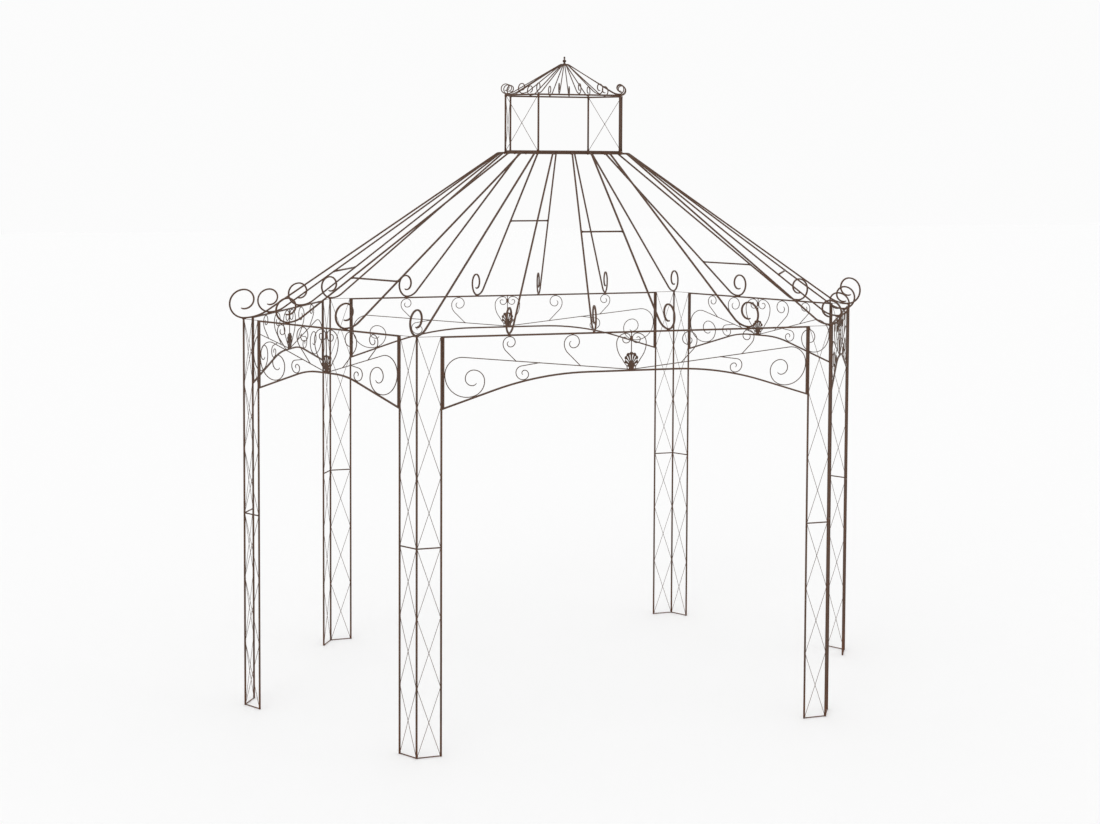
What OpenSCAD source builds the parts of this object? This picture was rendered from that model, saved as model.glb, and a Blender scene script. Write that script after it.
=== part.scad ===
// Open wrought iron garden pavilion on six lattice posts, with scrolled arches,
// a roof of curled rafters and a small lantern. Millimetres, standing on Z = 0.

/* [Plan] */
// Length between the two end corners, bar centre to bar centre
plan_length = 4000; // [2400:10:6000]
// Depth between the two long sides, bar centre to bar centre
plan_depth = 2620; // [1600:10:4000]
// Height of the post bars
post_height = 2345; // [1800:5:3000]

/* [Posts] */
// Width of each post wing, bar centre to bar centre
wing_width = 138; // [80:1:240]
// Diameter of the three upright bars of a post
post_bar = 12; // [8:0.5:25]
// Diameter of the crossbar halfway up a wing
middle_bar = 8; // [5:0.5:12]
// Diameter of the crossbar at the foot of a wing
foot_bar = 6; // [4:0.5:12]
// Thickness of the crossed lattice wires
lattice_wire = 3; // [2:0.5:6]
// Number of crosses above and below the middle crossbar
crosses = 3; // [1:1:6]

/* [Arched panels] */
// Section of the square bar of a panel frame
frame_bar = 10; // [6:0.5:16]
// Drop from the post tops to the arch crown on the two long sides
long_crown_drop = 225; // [150:5:400]
// Drop from the post tops to the arch crown on the four short sides
short_crown_drop = 262; // [150:5:400]
// Slope of the straight arch ends
arch_slope = 17.6; // [8:0.1:30]
// Radius of the arch bends on the long sides
long_bend = 1800; // [600:10:2600]
// Radius of the arch bends on the short sides
short_bend = 600; // [200:10:1200]
// Half length of the level crown on the long sides
long_level = 262; // [40:1:500]
// Half length of the level crown on the short sides
short_level = 73; // [20:1:200]

/* [Scrollwork] */
// Thickness of the scroll wire
scroll_wire = 5; // [3:0.5:8]
// Radius where the main scroll turns over beside the upright
turn_radius = 95; // [60:1:140]
// Radius where the main scroll swings down onto the arch
swing_radius = 128; // [90:1:170]
// Width of the shell ornament
shell_width = 92; // [50:1:140]
// Height of the shell ornament
shell_height = 100; // [60:1:150]

/* [Roof] */
// Section of the square rafter bar
rafter_bar = 10; // [5:0.5:14]
// Section of the tie bars between the middle rafters
tie_bar = 10; // [5:0.5:14]
// Rise from the post tops to the centre of the roof ring
roof_rise = 999; // [600:1:1600]
// Rise from the post tops to the tie bars on the long sides
long_tie_rise = 540; // [200:5:800]
// Rise from the post tops to the tie bars on the short sides
short_tie_rise = 255; // [150:5:800]
// Places of the rafter feet along the eave of a long side
long_feet = [0.21, 0.41, 0.59, 0.79]; // [0:0.01:1]
// Places of the rafter heads along the roof ring on a long side
long_heads = [0.2, 0.4, 0.6, 0.8]; // [0:0.01:1]
// Places of the rafter feet along the eave of a short side, from its end corner
short_feet = [0.27, 0.61]; // [0:0.01:1]
// Places of the rafter heads along the roof ring on a short side
short_heads = [0.32, 0.65]; // [0:0.01:1]
// Radius of the first half turn of a rafter curl
curl_radius = 71; // [40:1:110]
// Radius of the first half turn of the curls at the two end corners
end_curl_radius = 85; // [40:1:110]
// Radius of the bend that lays a rafter onto the eave
eave_bend = 150; // [80:5:400]
// Radius of that bend on the rafters of the two end corners
end_bend = 250; // [80:5:400]

/* [Lantern] */
// Length of the lantern between its end corners
lantern_length = 765; // [400:5:1200]
// Depth of the lantern between its long faces
lantern_depth = 630; // [300:5:1000]
// Length of the long faces of the lantern
lantern_side = 524; // [250:5:800]
// Section of the square ring bars
ring_bar = 10; // [6:0.5:16]
// Rise from the base ring to the top ring, bar centre to bar centre
lantern_rise = 350; // [200:1:600]
// Diameter of the lantern uprights
lantern_post_bar = 12; // [8:0.5:20]
// Section of the cap rods
cap_bar = 6; // [3:0.5:8]
// Height of the top of the cap hub above the top ring centre
cap_rise = 200; // [120:1:300]
// Radius of the first half turn of a cap rod curl
cap_curl = 30; // [15:1:45]
// Height of the finial
finial_height = 46; // [25:1:90]

/* [Hidden] */
gap = 0.3;
weld = 0.4;
sunk = 2;
arc_step = 12;
fine_step = 7.5;
fine_radius = 60;
half_length = plan_length / 2;
half_depth = plan_depth / 2;
half_side = half_length - half_depth / tan(60);
eave_z = post_height - frame_bar / 2;
long_crown = post_height - long_crown_drop;
short_crown = post_height - short_crown_drop;
upright_u = wing_width + post_bar / 2 + gap + frame_bar / 2;
roof_ring_height = post_height + roof_rise;
base_ring_z = roof_ring_height + ring_bar + gap;
top_ring_height = base_ring_z + lantern_rise;
hub_radius = 24;
hub_thickness = 10;
hub_z = top_ring_height + cap_rise;
ring_corner = [lantern_length / 2, lantern_side / 2, lantern_depth / 2];
eave_corner = [half_length, half_side, half_depth];
short_sides = [1, 2, 4, 5];

iron = [0.33, 0.24, 0.19];
dark_iron = [0.27, 0.21, 0.18];

// Plan: corner k of a hexagon given as [half length, half side, half depth],
// counted from the front left corner, seen from above and anticlockwise
function corner(k, c) = [[-c[1], -c[2]], [c[1], -c[2]], [c[0], 0],
  [c[1], c[2]], [-c[1], c[2]], [-c[0], 0]][k % 6];
function along(k, f, c) = corner(k, c) * (1 - f) + corner(k + 1, c) * f;
function side_length(k, c) = norm(corner(k + 1, c) - corner(k, c));
function heading(v) = atan2(v[1], v[0]);
function side_angle(k, c) = heading(corner(k + 1, c) - corner(k, c));
function is_long(k) = k % 3 == 0;

// Paths: a path is a start point, a heading and steps. A step is
// [0, length] for a straight or [radius, turn] for an arc, left turn positive
function direction(a) = [cos(a), sin(a)];
function left_of(a) = [-sin(a), cos(a)];
function arc_points(p, a, r, turn) =
  let (n = max(2, ceil(abs(turn) / (r > fine_radius ? fine_step : arc_step))),
    s = sign(turn),
    c = p + left_of(a) * r * s)
  [for (i = [1:n]) c - left_of(a + turn * i / n) * r * s];
function step_points(p, a, step) =
  step[0] == 0 ? [p + direction(a) * step[1]] : arc_points(p, a, step[0], step[1]);
function walk(p, a, steps, i = 0) =
  i >= len(steps) ? [] :
  let (pts = step_points(p, a, steps[i]),
    b = steps[i][0] == 0 ? a : a + steps[i][1])
  concat(pts, walk(pts[len(pts) - 1], b, steps, i + 1));
function path(p, a, steps) = concat([p], walk(p, a, steps));
function reversed(pts) = [for (i = [len(pts) - 1:-1:0]) pts[i]];
function unit(v) = v / norm(v);
function normal_at(pts, i) =
  let (n = len(pts) - 1,
    before = unit(pts[max(i, 1)] - pts[max(i, 1) - 1]),
    after = unit(pts[min(i, n - 1) + 1] - pts[min(i, n - 1)]),
    d = unit(before + after))
  [-d[1], d[0]] / max(0.5, d * after);
function beside(pts, w) = [for (i = [0:len(pts) - 1]) pts[i] + normal_at(pts, i) * w];

module strip(pts, w) {
  polygon(concat(beside(pts, w / 2), reversed(beside(pts, -w / 2))));
}

// Joins crossing strips into one outline with a small fillet at each joint
module welded() {
  offset(delta = -weld)
    offset(delta = weld)
      children();
}

// Flat bent bar lying in the upright plane of a side, centred on that plane
module upright_plate(t) {
  rotate([90, 0, 0])
    translate([0, 0, -t / 2])
      linear_extrude(t)
        children();
}

module on_side(k, c) {
  p = corner(k, c);
  translate([p[0], p[1], 0])
    rotate([0, 0, side_angle(k, c)])
      children();
}

module at_panel(k) {
  on_side(k, eave_corner)
    translate([side_length(k, eave_corner) / 2, 0, 0])
      children();
}

// Posts: three bars joined by two wings of crossed wires
module wing_wires() {
  cell = post_height / (2 * crosses);
  far = wing_width - sunk;
  for (i = [0:2 * crosses - 1]) {
    low = max(i * cell, foot_bar / 2);
    high = min((i + 1) * cell, post_height - lattice_wire / 2);
    strip([[sunk, low], [far, high]], lattice_wire);
    strip([[sunk, high], [far, low]], lattice_wire);
  }
  strip([[sunk, post_height - lattice_wire / 2],
    [far, post_height - lattice_wire / 2]], lattice_wire);
}

module crossbar(z, d) {
  translate([sunk, 0, z])
    rotate([0, 90, 0])
      cylinder(h = wing_width - 2 * sunk, d = d, $fn = 32);
}

module wing(a) {
  rotate([0, 0, a]) {
    upright_plate(lattice_wire)
      welded()
        intersection() {
          wing_wires();
          translate([0, 0.5])
            square([wing_width, post_height - 1]);
        }
    translate([wing_width, 0, 0])
      cylinder(h = post_height, d = post_bar, $fn = 48);
    crossbar(post_height / 2, middle_bar);
    crossbar(foot_bar / 2, foot_bar);
  }
}

module post(k) {
  p = corner(k, eave_corner);
  color(iron)
    translate([p[0], p[1], 0]) {
      cylinder(h = post_height, d = post_bar, $fn = 48);
      wing(side_angle(k, eave_corner));
      wing(side_angle((k + 5) % 6, eave_corner) + 180);
    }
}

// Arches: measured outwards from the middle of a panel
function half_panel(k) = side_length(k, eave_corner) / 2 - upright_u;
function crown(k) = is_long(k) ? long_crown : short_crown;
function level(k) = is_long(k) ? long_level : short_level;
function bend(k) = is_long(k) ? long_bend : short_bend;
function arch_end_run(k) = half_panel(k) - level(k) - bend(k) * sin(arch_slope);
function arch_steps(k, reach) = [[0, level(k)], [bend(k), -arch_slope],
  [0, (arch_end_run(k) + reach) / cos(arch_slope)]];
function arch_path(k, reach) = path([0, crown(k)], 0, arch_steps(k, reach));
function arch_drop(k, u) =
  let (v = u - level(k), r = bend(k), w = r * sin(arch_slope))
  v <= 0 ? 0 : v <= w ? r - sqrt(r * r - v * v) :
  r * (1 - cos(arch_slope)) + (v - w) * tan(arch_slope);
function arch_z(k, u) = crown(k) - arch_drop(k, u);
function arch_tilt(k, u) = max(0, min(arch_slope, asin(min(1, max(0, (u - level(k)) / bend(k))))));

module half_frame(k) {
  top = eave_z;
  u = half_panel(k);
  strip([[0, top], [u + frame_bar / 2, top]], frame_bar);
  strip([[u, top], [u, arch_z(k, u) - frame_bar * 0.6]], frame_bar);
  intersection() {
    strip(arch_path(k, frame_bar), frame_bar);
    translate([0, crown(k) - post_height])
      square([u + frame_bar / 2, 2 * post_height]);
  }
}

module arch(k) {
  color(iron)
    at_panel(k)
      upright_plate(frame_bar) {
        half_frame(k);
        mirror([1, 0])
          half_frame(k);
      }
}

// Scrollwork: one half panel, u outwards from the middle, z up
wire_off = (frame_bar + scroll_wire) / 2 + gap;
function touch_u(k) = half_panel(k) - wire_off;
function swing_z(k) =
  let (u = touch_u(k) - swing_radius)
  arch_z(k, u) + (swing_radius + wire_off) / cos(arch_slope);
function main_start(k) = [shell_width * 0.23, crown(k) + wire_off];
// The turn stays this far above the crown, so that the main wire rises clear of
// the arch; where the arch ends lower, the wire runs down the upright to its swing
main_rise = 90;
function turn_z(k) = max(swing_z(k), main_start(k)[1] + main_rise - turn_radius);
function upright_run(k) = turn_z(k) - swing_z(k);
function tangent_angle(k) =
  let (c = [touch_u(k) - turn_radius, turn_z(k)],
    v = c - main_start(k))
  heading(v) + asin(turn_radius / norm(v));
function main_run(k) =
  let (v = [touch_u(k) - turn_radius, turn_z(k)] - main_start(k))
  sqrt(v * v - turn_radius * turn_radius);
function main_steps(k) =
  let (a = tangent_angle(k), s = swing_radius, d = upright_run(k))
  concat([[0, main_run(k)], [turn_radius, -90 - a]],
    d > 0 ? [[0, d]] : [],
    [[s, -90 - arch_slope], [s * 0.66, -90 + arch_slope], [s * 0.5, -90],
    [s * 0.36, -90], [s * 0.32, -90], [s * 0.2, -60]]);
function main_z(k, u) = main_start(k)[1] + (u - main_start(k)[0]) * tan(tangent_angle(k));

// Curl that rises from the main wire and turns over under the top bar
module rising_curl(k, u) {
  top = eave_z - wire_off;
  h = top - main_z(k, u);
  a = tangent_angle(k);
  stem = path([u, top], 0, [[h * 0.29, -90], [h * 0.43, -45]]);
  last = stem[len(stem) - 1];
  drop = (last[1] - main_z(k, last[0])) / (1 - tan(a));
  foot = last + [-drop, -drop];
  tip = path([u, top], 180, [[h * 0.23, 90], [h * 0.2, 90], [h * 0.14, 90], [h * 0.09, 65]]);
  strip(concat([foot], reversed(stem), [for (i = [1:len(tip) - 1]) tip[i]]), scroll_wire);
}

// Curl that hangs from the main wire and rests on the arch
module hanging_curl(k, u) {
  tilt = arch_tilt(k, u);
  seat = [u, arch_z(k, u)] + wire_off * [sin(tilt), cos(tilt)];
  h = main_z(k, u) - seat[1];
  a = tangent_angle(k);
  r = h * 0.42;
  stem = path(seat, -tilt, [[r, 90 + tilt], [h * 0.36, 82]]);
  last = stem[len(stem) - 1];
  rest = (main_z(k, last[0]) - last[1]) / (tan(a) + tan(8));
  foot = last + [-rest, rest * tan(8)];
  tip = path(seat, 180 - tilt, [[h * 0.29, -90 + tilt], [h * 0.24, -90], [h * 0.15, -90], [h * 0.1, -65]]);
  strip(concat(reversed(tip), [for (i = [1:len(stem) - 1]) stem[i]], [foot]), scroll_wire);
}

module half_heart(k) {
  top = eave_z - wire_off;
  h = top - crown(k);
  inner = scroll_wire + gap;
  r = h * 0.135;
  u = inner + r;
  tip = path([u, top], 180, [[r, 90], [h * 0.125, 90], [h * 0.1, 90], [h * 0.06, 90], [h * 0.05, 60]]);
  side = path([u, top], 0, [[h * 0.26, -90], [h * 0.64, -40]]);
  last = side[len(side) - 1];
  lobe = direction(90 - petal_spread) * (petal_length(petal_spread) - lobe_radius);
  rim = fan_base(k) + lobe + direction(-30) * (lobe_radius + scroll_wire / 2 + 2 * gap);
  waist = fan_base(k) + [shell_width * 0.275 + scroll_wire / 2 + 2 * gap, 0];
  foot = main_start(k) + [scroll_wire / 2, 0];
  strip(concat(reversed(tip), [for (i = [1:len(side) - 1]) side[i]], [rim, waist, foot]), scroll_wire);
}

function rising_spots(k) = is_long(k) ? [0.32, 0.655] : [0.34, 0.66];
function hanging_spot(k) = is_long(k) ? 0.575 : 0.42;

module half_scroll(k) {
  u = half_panel(k);
  strip(path(main_start(k), tangent_angle(k), main_steps(k)), scroll_wire);
  for (f = rising_spots(k))
    rising_curl(k, u * f);
  hanging_curl(k, u * hanging_spot(k));
  half_heart(k);
}

module scrolls(k) {
  color(dark_iron)
    at_panel(k)
      for (m = [0, 1])
        mirror([m, 0, 0])
          upright_plate(scroll_wire)
            welded()
              half_scroll(k);
}

// Shell: seven scalloped ribs parted by six slots, on a flared foot, and the
// thin bar from the shell up to the top bar
petal_count = 7;
petal_spread = 50;
petal_step = 2 * petal_spread / (petal_count - 1);
lobe_radius = shell_width * 0.13;

function petal_angle(i) = -petal_spread + petal_step * i;
function petal_length(a) = shell_height * (0.79 - 0.3 * pow(a / petal_spread, 2));
function shell_base_z(k) = crown(k) + frame_bar / 2 + gap;
function fan_base(k) = [0, shell_base_z(k) + shell_height * 0.22];

module petal(a) {
  r = lobe_radius;
  h = petal_length(a) - r;
  rotate(-a)
    union() {
      translate([0, h])
        circle(r = r, $fn = 24);
      polygon([[-r * 0.2, 0], [r * 0.2, 0], [r * 0.96, h], [-r * 0.96, h]]);
    }
}

module slot(a) {
  h = petal_length(a);
  w = shell_width * 0.03;
  rotate(-a)
    union() {
      polygon([[-w * 0.4, h * 0.38], [w * 0.4, h * 0.38], [w, h * 0.78], [-w, h * 0.78]]);
      translate([0, h * 0.78])
        circle(r = w, $fn = 16);
    }
}

module shell_foot(foot_z, fan_z) {
  w = shell_width;
  h = shell_height;
  polygon([[-w * 0.2, foot_z], [w * 0.2, foot_z], [w * 0.16, foot_z + h * 0.08],
    [w * 0.2, fan_z], [-w * 0.2, fan_z], [-w * 0.16, foot_z + h * 0.08]]);
  for (m = [-1, 1])
    translate([m * w * 0.2, fan_z])
      circle(r = w * 0.075, $fn = 24);
}

module shell(k) {
  foot_z = shell_base_z(k);
  fan_z = fan_base(k)[1];
  color(dark_iron)
    at_panel(k)
      upright_plate(scroll_wire)
        welded() {
          difference() {
            translate([0, fan_z]) {
              for (i = [0:petal_count - 1])
                petal(petal_angle(i));
              circle(r = shell_width * 0.2, $fn = 40);
            }
            translate([0, fan_z])
              for (i = [0:petal_count - 2])
                slot(petal_angle(i) + petal_step / 2);
          }
          shell_foot(foot_z, fan_z);
          strip([[0, fan_z + shell_height * 0.7], [0, eave_z - frame_bar / 2 - gap]], scroll_wire);
        }
}

// Rafters: a level end at the ring, a straight slope laid onto the eave, and
// a curl that turns up and back over the eave
ring_end = 34;
ring_bend = 30;
curl_back = 3;

function fall_angle(x, d, r) =
  let (s = sqrt(x * x + (d - r) * (d - r) - r * r))
  atan2(d - r, x) + atan2(r, s);
function fall_run(x, d, r) = sqrt(x * x + (d - r) * (d - r) - r * r);
function bar_steps(run, drop, r0, r1, flat, c) =
  let (x = run - flat, a = fall_angle(x, drop, r0 + r1), s = fall_run(x, drop, r0 + r1))
  [[0, flat], [r0, -a], [0, s], [r1, a], [c, 180], [c * 0.68, 180], [c * 0.4, 30]];

roof_z = post_height + gap + rafter_bar / 2;
// A rafter is named by its side k and its number i, -1 for the one at corner k
function end_first(k) = k % 3 == 2;
function end_places(k, places) = end_first(k) ? places : [1 - places[1], 1 - places[0]];
function feet(k) = is_long(k) ? long_feet : end_places(k, short_feet);
function heads(k) = is_long(k) ? long_heads : end_places(k, short_heads);
function ring_point(k, i) = along(k, i < 0 ? 0 : heads(k)[i], ring_corner);
function eave_point(k, i) = along(k, i < 0 ? 0 : feet(k)[i], eave_corner);
function rafter_line(k, i) = eave_point(k, i) - ring_point(k, i);
function mitre(k, c) =
  let (n = -left_of(side_angle(k, c)), m = -left_of(side_angle((k + 5) % 6, c)))
  (n + m) / (1 + n * m);
function side_reach(k, d) =
  let (a = side_angle(k, ring_corner))
  (ring_bar / 2 + gap + rafter_bar / 2 * abs(d * direction(a))) / abs(d * left_of(a));
function ring_reach(k, i) =
  let (d = unit(rafter_line(k, i)))
  i < 0 ? mitre(k, ring_corner) * d * ring_bar / 2 + gap : side_reach(k, d);
function rafter_run(k, i) = norm(rafter_line(k, i)) - curl_back - ring_reach(k, i);
function at_end(k, i) = i < 0 && end_first(k);
function foot_bend(k, i) = at_end(k, i) ? end_bend : eave_bend;
function curl(k, i) = at_end(k, i) ? end_curl_radius : curl_radius;

module rafter(k, i) {
  p = ring_point(k, i);
  translate([p[0], p[1], 0])
    rotate([0, 0, heading(rafter_line(k, i))])
      upright_plate(rafter_bar)
        strip(path([ring_reach(k, i), roof_ring_height], 0,
          bar_steps(rafter_run(k, i), roof_ring_height - roof_z, ring_bend,
            foot_bend(k, i), ring_end, curl(k, i))), rafter_bar);
}

module rafters(k) {
  color(iron)
    for (i = [0:len(feet(k)) - 1])
      rafter(k, i);
}

module corner_rafters() {
  color(iron)
    for (k = [0:5])
      rafter(k, -1);
}

// Tie bars: one level bar per side between its two middle rafters
function tie_height(k) = post_height + (is_long(k) ? long_tie_rise : short_tie_rise);
function rafter_at(k, i, z) =
  let (p = ring_point(k, i),
    d = unit(rafter_line(k, i)),
    r = ring_bend + foot_bend(k, i),
    x = rafter_run(k, i) - ring_end,
    a = fall_angle(x, roof_ring_height - roof_z, r),
    start = ring_reach(k, i) + ring_end + ring_bend * sin(a),
    start_z = roof_ring_height - ring_bend * (1 - cos(a)))
  p + d * (start + (start_z - z) / tan(a));
function tie_end(p, q, d, s) =
  let (t = unit(q - p), n = [-t[1], t[0]],
    m = [-d[1], d[0]] * sign(t * [-d[1], d[0]]),
    off = rafter_bar / 2 + gap)
  p + n * s + t * (off - s * (n * m)) / (t * m);

module tie(k) {
  i = is_long(k) ? 1 : 0;
  z = tie_height(k);
  p = rafter_at(k, i, z);
  q = rafter_at(k, i + 1, z);
  d = unit(rafter_line(k, i));
  e = unit(rafter_line(k, i + 1));
  w = tie_bar / 2;
  translate([0, 0, z - w])
    linear_extrude(tie_bar)
      polygon([tie_end(p, q, d, w), tie_end(p, q, d, -w),
        tie_end(q, p, e, w), tie_end(q, p, e, -w)]);
}

module tie_bars() {
  color(iron)
    for (k = [0:5])
      tie(k);
}

// Lantern: two rings, six uprights, crossed wires in the four short faces
module ring_outline(w) {
  polygon([for (k = [0:5]) corner(k, ring_corner) + mitre(k, ring_corner) * w]);
}

module ring(z) {
  color(iron)
    translate([0, 0, z - ring_bar / 2])
      linear_extrude(ring_bar)
        difference() {
          ring_outline(ring_bar / 2);
          ring_outline(-ring_bar / 2);
        }
}

lantern_low = base_ring_z + ring_bar / 2 + gap;
lantern_high = top_ring_height - ring_bar / 2 - gap;

module lantern_posts() {
  color(iron)
    for (k = [0:5]) {
      p = corner(k, ring_corner);
      translate([p[0], p[1], lantern_low])
        cylinder(h = lantern_high - lantern_low, d = lantern_post_bar, $fn = 48);
    }
}

module lantern_lattice() {
  color(iron)
    for (k = short_sides) {
      u = side_length(k, ring_corner) / 2 - lantern_post_bar / 2 - gap;
      h = lantern_high - lantern_low;
      on_side(k, ring_corner)
        translate([side_length(k, ring_corner) / 2, 0, lantern_low])
          upright_plate(lattice_wire)
            intersection() {
              translate([-u, 0])
                square([2 * u, h]);
              union() {
                strip([[-2 * u, -h / 2], [2 * u, h * 1.5]], lattice_wire);
                strip([[-2 * u, h * 1.5], [2 * u, -h / 2]], lattice_wire);
              }
            }
    }
}

// Cap: sixteen curled rods from the hub to the top ring, hub and finial
cap_z = top_ring_height + ring_bar / 2 + gap + cap_bar / 2;
rod_flat = 2;
rod_bend = 8;
cap_bend = 110;
cap_back = 2;

module cap_rod(k, f) {
  p = along(k, f, ring_corner);
  start = hub_radius + gap;
  rotate([0, 0, heading(p)])
    upright_plate(cap_bar)
      strip(path([start, hub_z - hub_thickness / 2], 0,
        bar_steps(norm(p) - cap_back - start, hub_z - hub_thickness / 2 - cap_z,
          rod_bend, cap_bend, rod_flat, cap_curl)), cap_bar);
}

function cap_spots(k) = is_long(k) ? [0, 0.25, 0.5, 0.75] : [0, 0.5];

module cap_rods() {
  color(iron)
    for (k = [0:5])
      for (f = cap_spots(k))
        cap_rod(k, f);
}

module cap_hub() {
  color(iron)
    translate([0, 0, hub_z - hub_thickness])
      cylinder(h = hub_thickness, r = hub_radius, $fn = 64);
}

module finial() {
  h = finial_height;
  color(dark_iron)
    translate([0, 0, hub_z + gap])
      rotate_extrude($fn = 48)
        polygon([[0, 0], [0.2 * h, 0], [0.2 * h, 0.05 * h], [0.12 * h, 0.12 * h],
          [0.12 * h, 0.18 * h], [0.2 * h, 0.25 * h], [0.26 * h, 0.36 * h],
          [0.24 * h, 0.46 * h], [0.16 * h, 0.54 * h], [0.08 * h, 0.6 * h],
          [0.08 * h, 0.68 * h], [0.12 * h, 0.74 * h], [0.135 * h, 0.82 * h],
          [0.12 * h, 0.91 * h], [0.06 * h, 0.985 * h], [0, h]]);
}

post(0);  // post_front_left
post(1);  // post_front_right
post(2);  // post_right
post(3);  // post_back_right
post(4);  // post_back_left
post(5);  // post_left
arch(0);  // arch_front
arch(1);  // arch_right_front
arch(2);  // arch_right_back
arch(3);  // arch_back
arch(4);  // arch_left_back
arch(5);  // arch_left_front
scrolls(0);  // scrolls_front
scrolls(1);  // scrolls_right_front
scrolls(2);  // scrolls_right_back
scrolls(3);  // scrolls_back
scrolls(4);  // scrolls_left_back
scrolls(5);  // scrolls_left_front
shell(0);  // shell_front
shell(1);  // shell_right_front
shell(2);  // shell_right_back
shell(3);  // shell_back
shell(4);  // shell_left_back
shell(5);  // shell_left_front
rafters(0);  // rafters_front
rafters(1);  // rafters_right_front
rafters(2);  // rafters_right_back
rafters(3);  // rafters_back
rafters(4);  // rafters_left_back
rafters(5);  // rafters_left_front
corner_rafters();
tie_bars();
ring(roof_ring_height);  // roof_ring
ring(base_ring_z);  // lantern_base_ring
lantern_posts();
lantern_lattice();
ring(top_ring_height);  // lantern_top_ring
cap_rods();
cap_hub();
finial();
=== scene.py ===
import bpy
import numpy as np
from mathutils import Matrix, Vector


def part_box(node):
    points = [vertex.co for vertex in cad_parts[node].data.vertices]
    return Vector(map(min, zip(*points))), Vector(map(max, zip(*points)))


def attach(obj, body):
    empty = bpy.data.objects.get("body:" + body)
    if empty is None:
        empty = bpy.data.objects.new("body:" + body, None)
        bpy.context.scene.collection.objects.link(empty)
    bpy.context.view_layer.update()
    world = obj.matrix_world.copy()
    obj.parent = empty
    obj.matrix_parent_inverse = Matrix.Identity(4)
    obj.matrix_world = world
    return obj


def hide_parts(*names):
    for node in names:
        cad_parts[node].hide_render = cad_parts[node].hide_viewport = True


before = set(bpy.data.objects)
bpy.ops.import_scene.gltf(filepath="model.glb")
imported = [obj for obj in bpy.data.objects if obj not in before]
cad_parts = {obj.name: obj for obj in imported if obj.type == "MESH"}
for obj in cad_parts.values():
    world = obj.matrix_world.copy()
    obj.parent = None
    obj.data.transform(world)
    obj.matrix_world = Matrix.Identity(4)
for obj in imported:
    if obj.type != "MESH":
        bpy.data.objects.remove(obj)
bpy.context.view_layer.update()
print("frame loaded:", len(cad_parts), "CAD nodes")


def low(node, axis):
    # lowest coordinate of a CAD node's box along an axis, 0 to 2
    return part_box(node)[0][axis]


def high(node, axis):
    # highest coordinate of the same box
    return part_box(node)[1][axis]


# the plan that every piece shares, in metres: side k runs from corner k to corner k + 1, places come
# from the CAD nodes' boxes and bar sizes stand here
plan = {"frameBar": 0.010, "postBar": 0.012, "wingWidth": 0.138, "scrollWire": 0.005, "seat": 0.0003,
        "shave": 0.0002}  # seat: gap between neighbours; shave: taken off a bar to stay in its CAD box
barOff = plan["frameBar"] / 2
uprightU = plan["wingWidth"] + plan["postBar"] / 2 + plan["seat"] + barOff
plan["postHeight"] = high("post_right", 2)
plan["halfLength"] = high("post_right", 0) - plan["postBar"] / 2
plan["halfDepth"] = high("arch_back", 1) - barOff
plan["halfSide"] = high("arch_back", 0) - barOff + uprightU
plan["crown"] = [low(node, 2) - barOff - plan["seat"] for node in ("shell_front", "shell_right_front")]
sideNames = ["front", "right_front", "right_back", "back", "left_back", "left_front"]
postNames = ["front_left", "front_right", "right", "back_right", "back_left", "left"]
up = np.array([0.0, 0.0, 1.0])


def hexagon(halfLength, halfSide, halfDepth):
    # six corners, anticlockwise from the front left one
    return np.array([[-halfSide, -halfDepth], [halfSide, -halfDepth], [halfLength, 0.0],
                     [halfSide, halfDepth], [-halfSide, halfDepth], [-halfLength, 0.0]])


eave = hexagon(plan["halfLength"], plan["halfSide"], plan["halfDepth"])


def isLong(k):
    # the front and the back are the long sides
    return k % 3 == 0


def unit(v):
    # vectors divided by their lengths
    return v / np.linalg.norm(v, axis=-1, keepdims=True)


def turned(angle):
    # unit vector at an angle in degrees
    r = np.radians(angle)
    return np.stack([np.cos(r), np.sin(r)], -1)


def along(points, k, share):
    # point at a share of side k
    return points[k % 6] * (1 - share) + points[(k + 1) % 6] * share


def sideWay(points, k):
    # unit vector along side k
    return unit(points[(k + 1) % 6] - points[k % 6])


def sideLength(points, k):
    # distance between the two corners of side k
    return float(np.linalg.norm(points[(k + 1) % 6] - points[k % 6]))


class Upright:
    # a vertical plane through a plan point: point = origin + u * way, at height z; side points out of it
    def __init__(self, origin, way):
        self.origin, self.way = origin, way
        self.side = np.array([way[1], -way[0], 0])

    def place(self, flat, hand=1):
        # from the plane to the room; hand -1 mirrors left and right
        flat = np.asarray(flat, float)
        return np.column_stack([self.origin + hand * flat[:, :1] * self.way, flat[:, 1]])


# shapes: a section carried along a path, a turned profile, a welding bead
sweepForm = {"sag": 0.00015, "finest": 1.2, "coarsest": 12, "dome": (78, 48), "drawn": 0.34, "drawnPower": 1.5}


def tracePath(start, angle, steps):
    # goes on from start by straights (0, length) and arcs (radius, turn in degrees, left positive);
    # arc point = centre + radius turned by equal angles, small enough to keep the sag in bounds
    runs = [np.array([start], float)]
    for radius, amount in steps:
        last = runs[-1][-1]
        if radius == 0:
            runs.append((last + turned(angle) * amount)[None])
            continue
        hand = np.sign(amount)
        fine = np.degrees(2 * np.arccos(1 - sweepForm["sag"] / radius))
        fine = np.clip(fine, sweepForm["finest"], sweepForm["coarsest"])
        count = max(2, int(np.ceil(abs(amount) / fine)))
        centre = last + turned(angle + 90) * radius * hand
        runs.append(centre - turned(angle + amount * np.arange(1, count + 1) / count + 90) * radius * hand)
        angle += amount
    return np.concatenate(runs)


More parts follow.
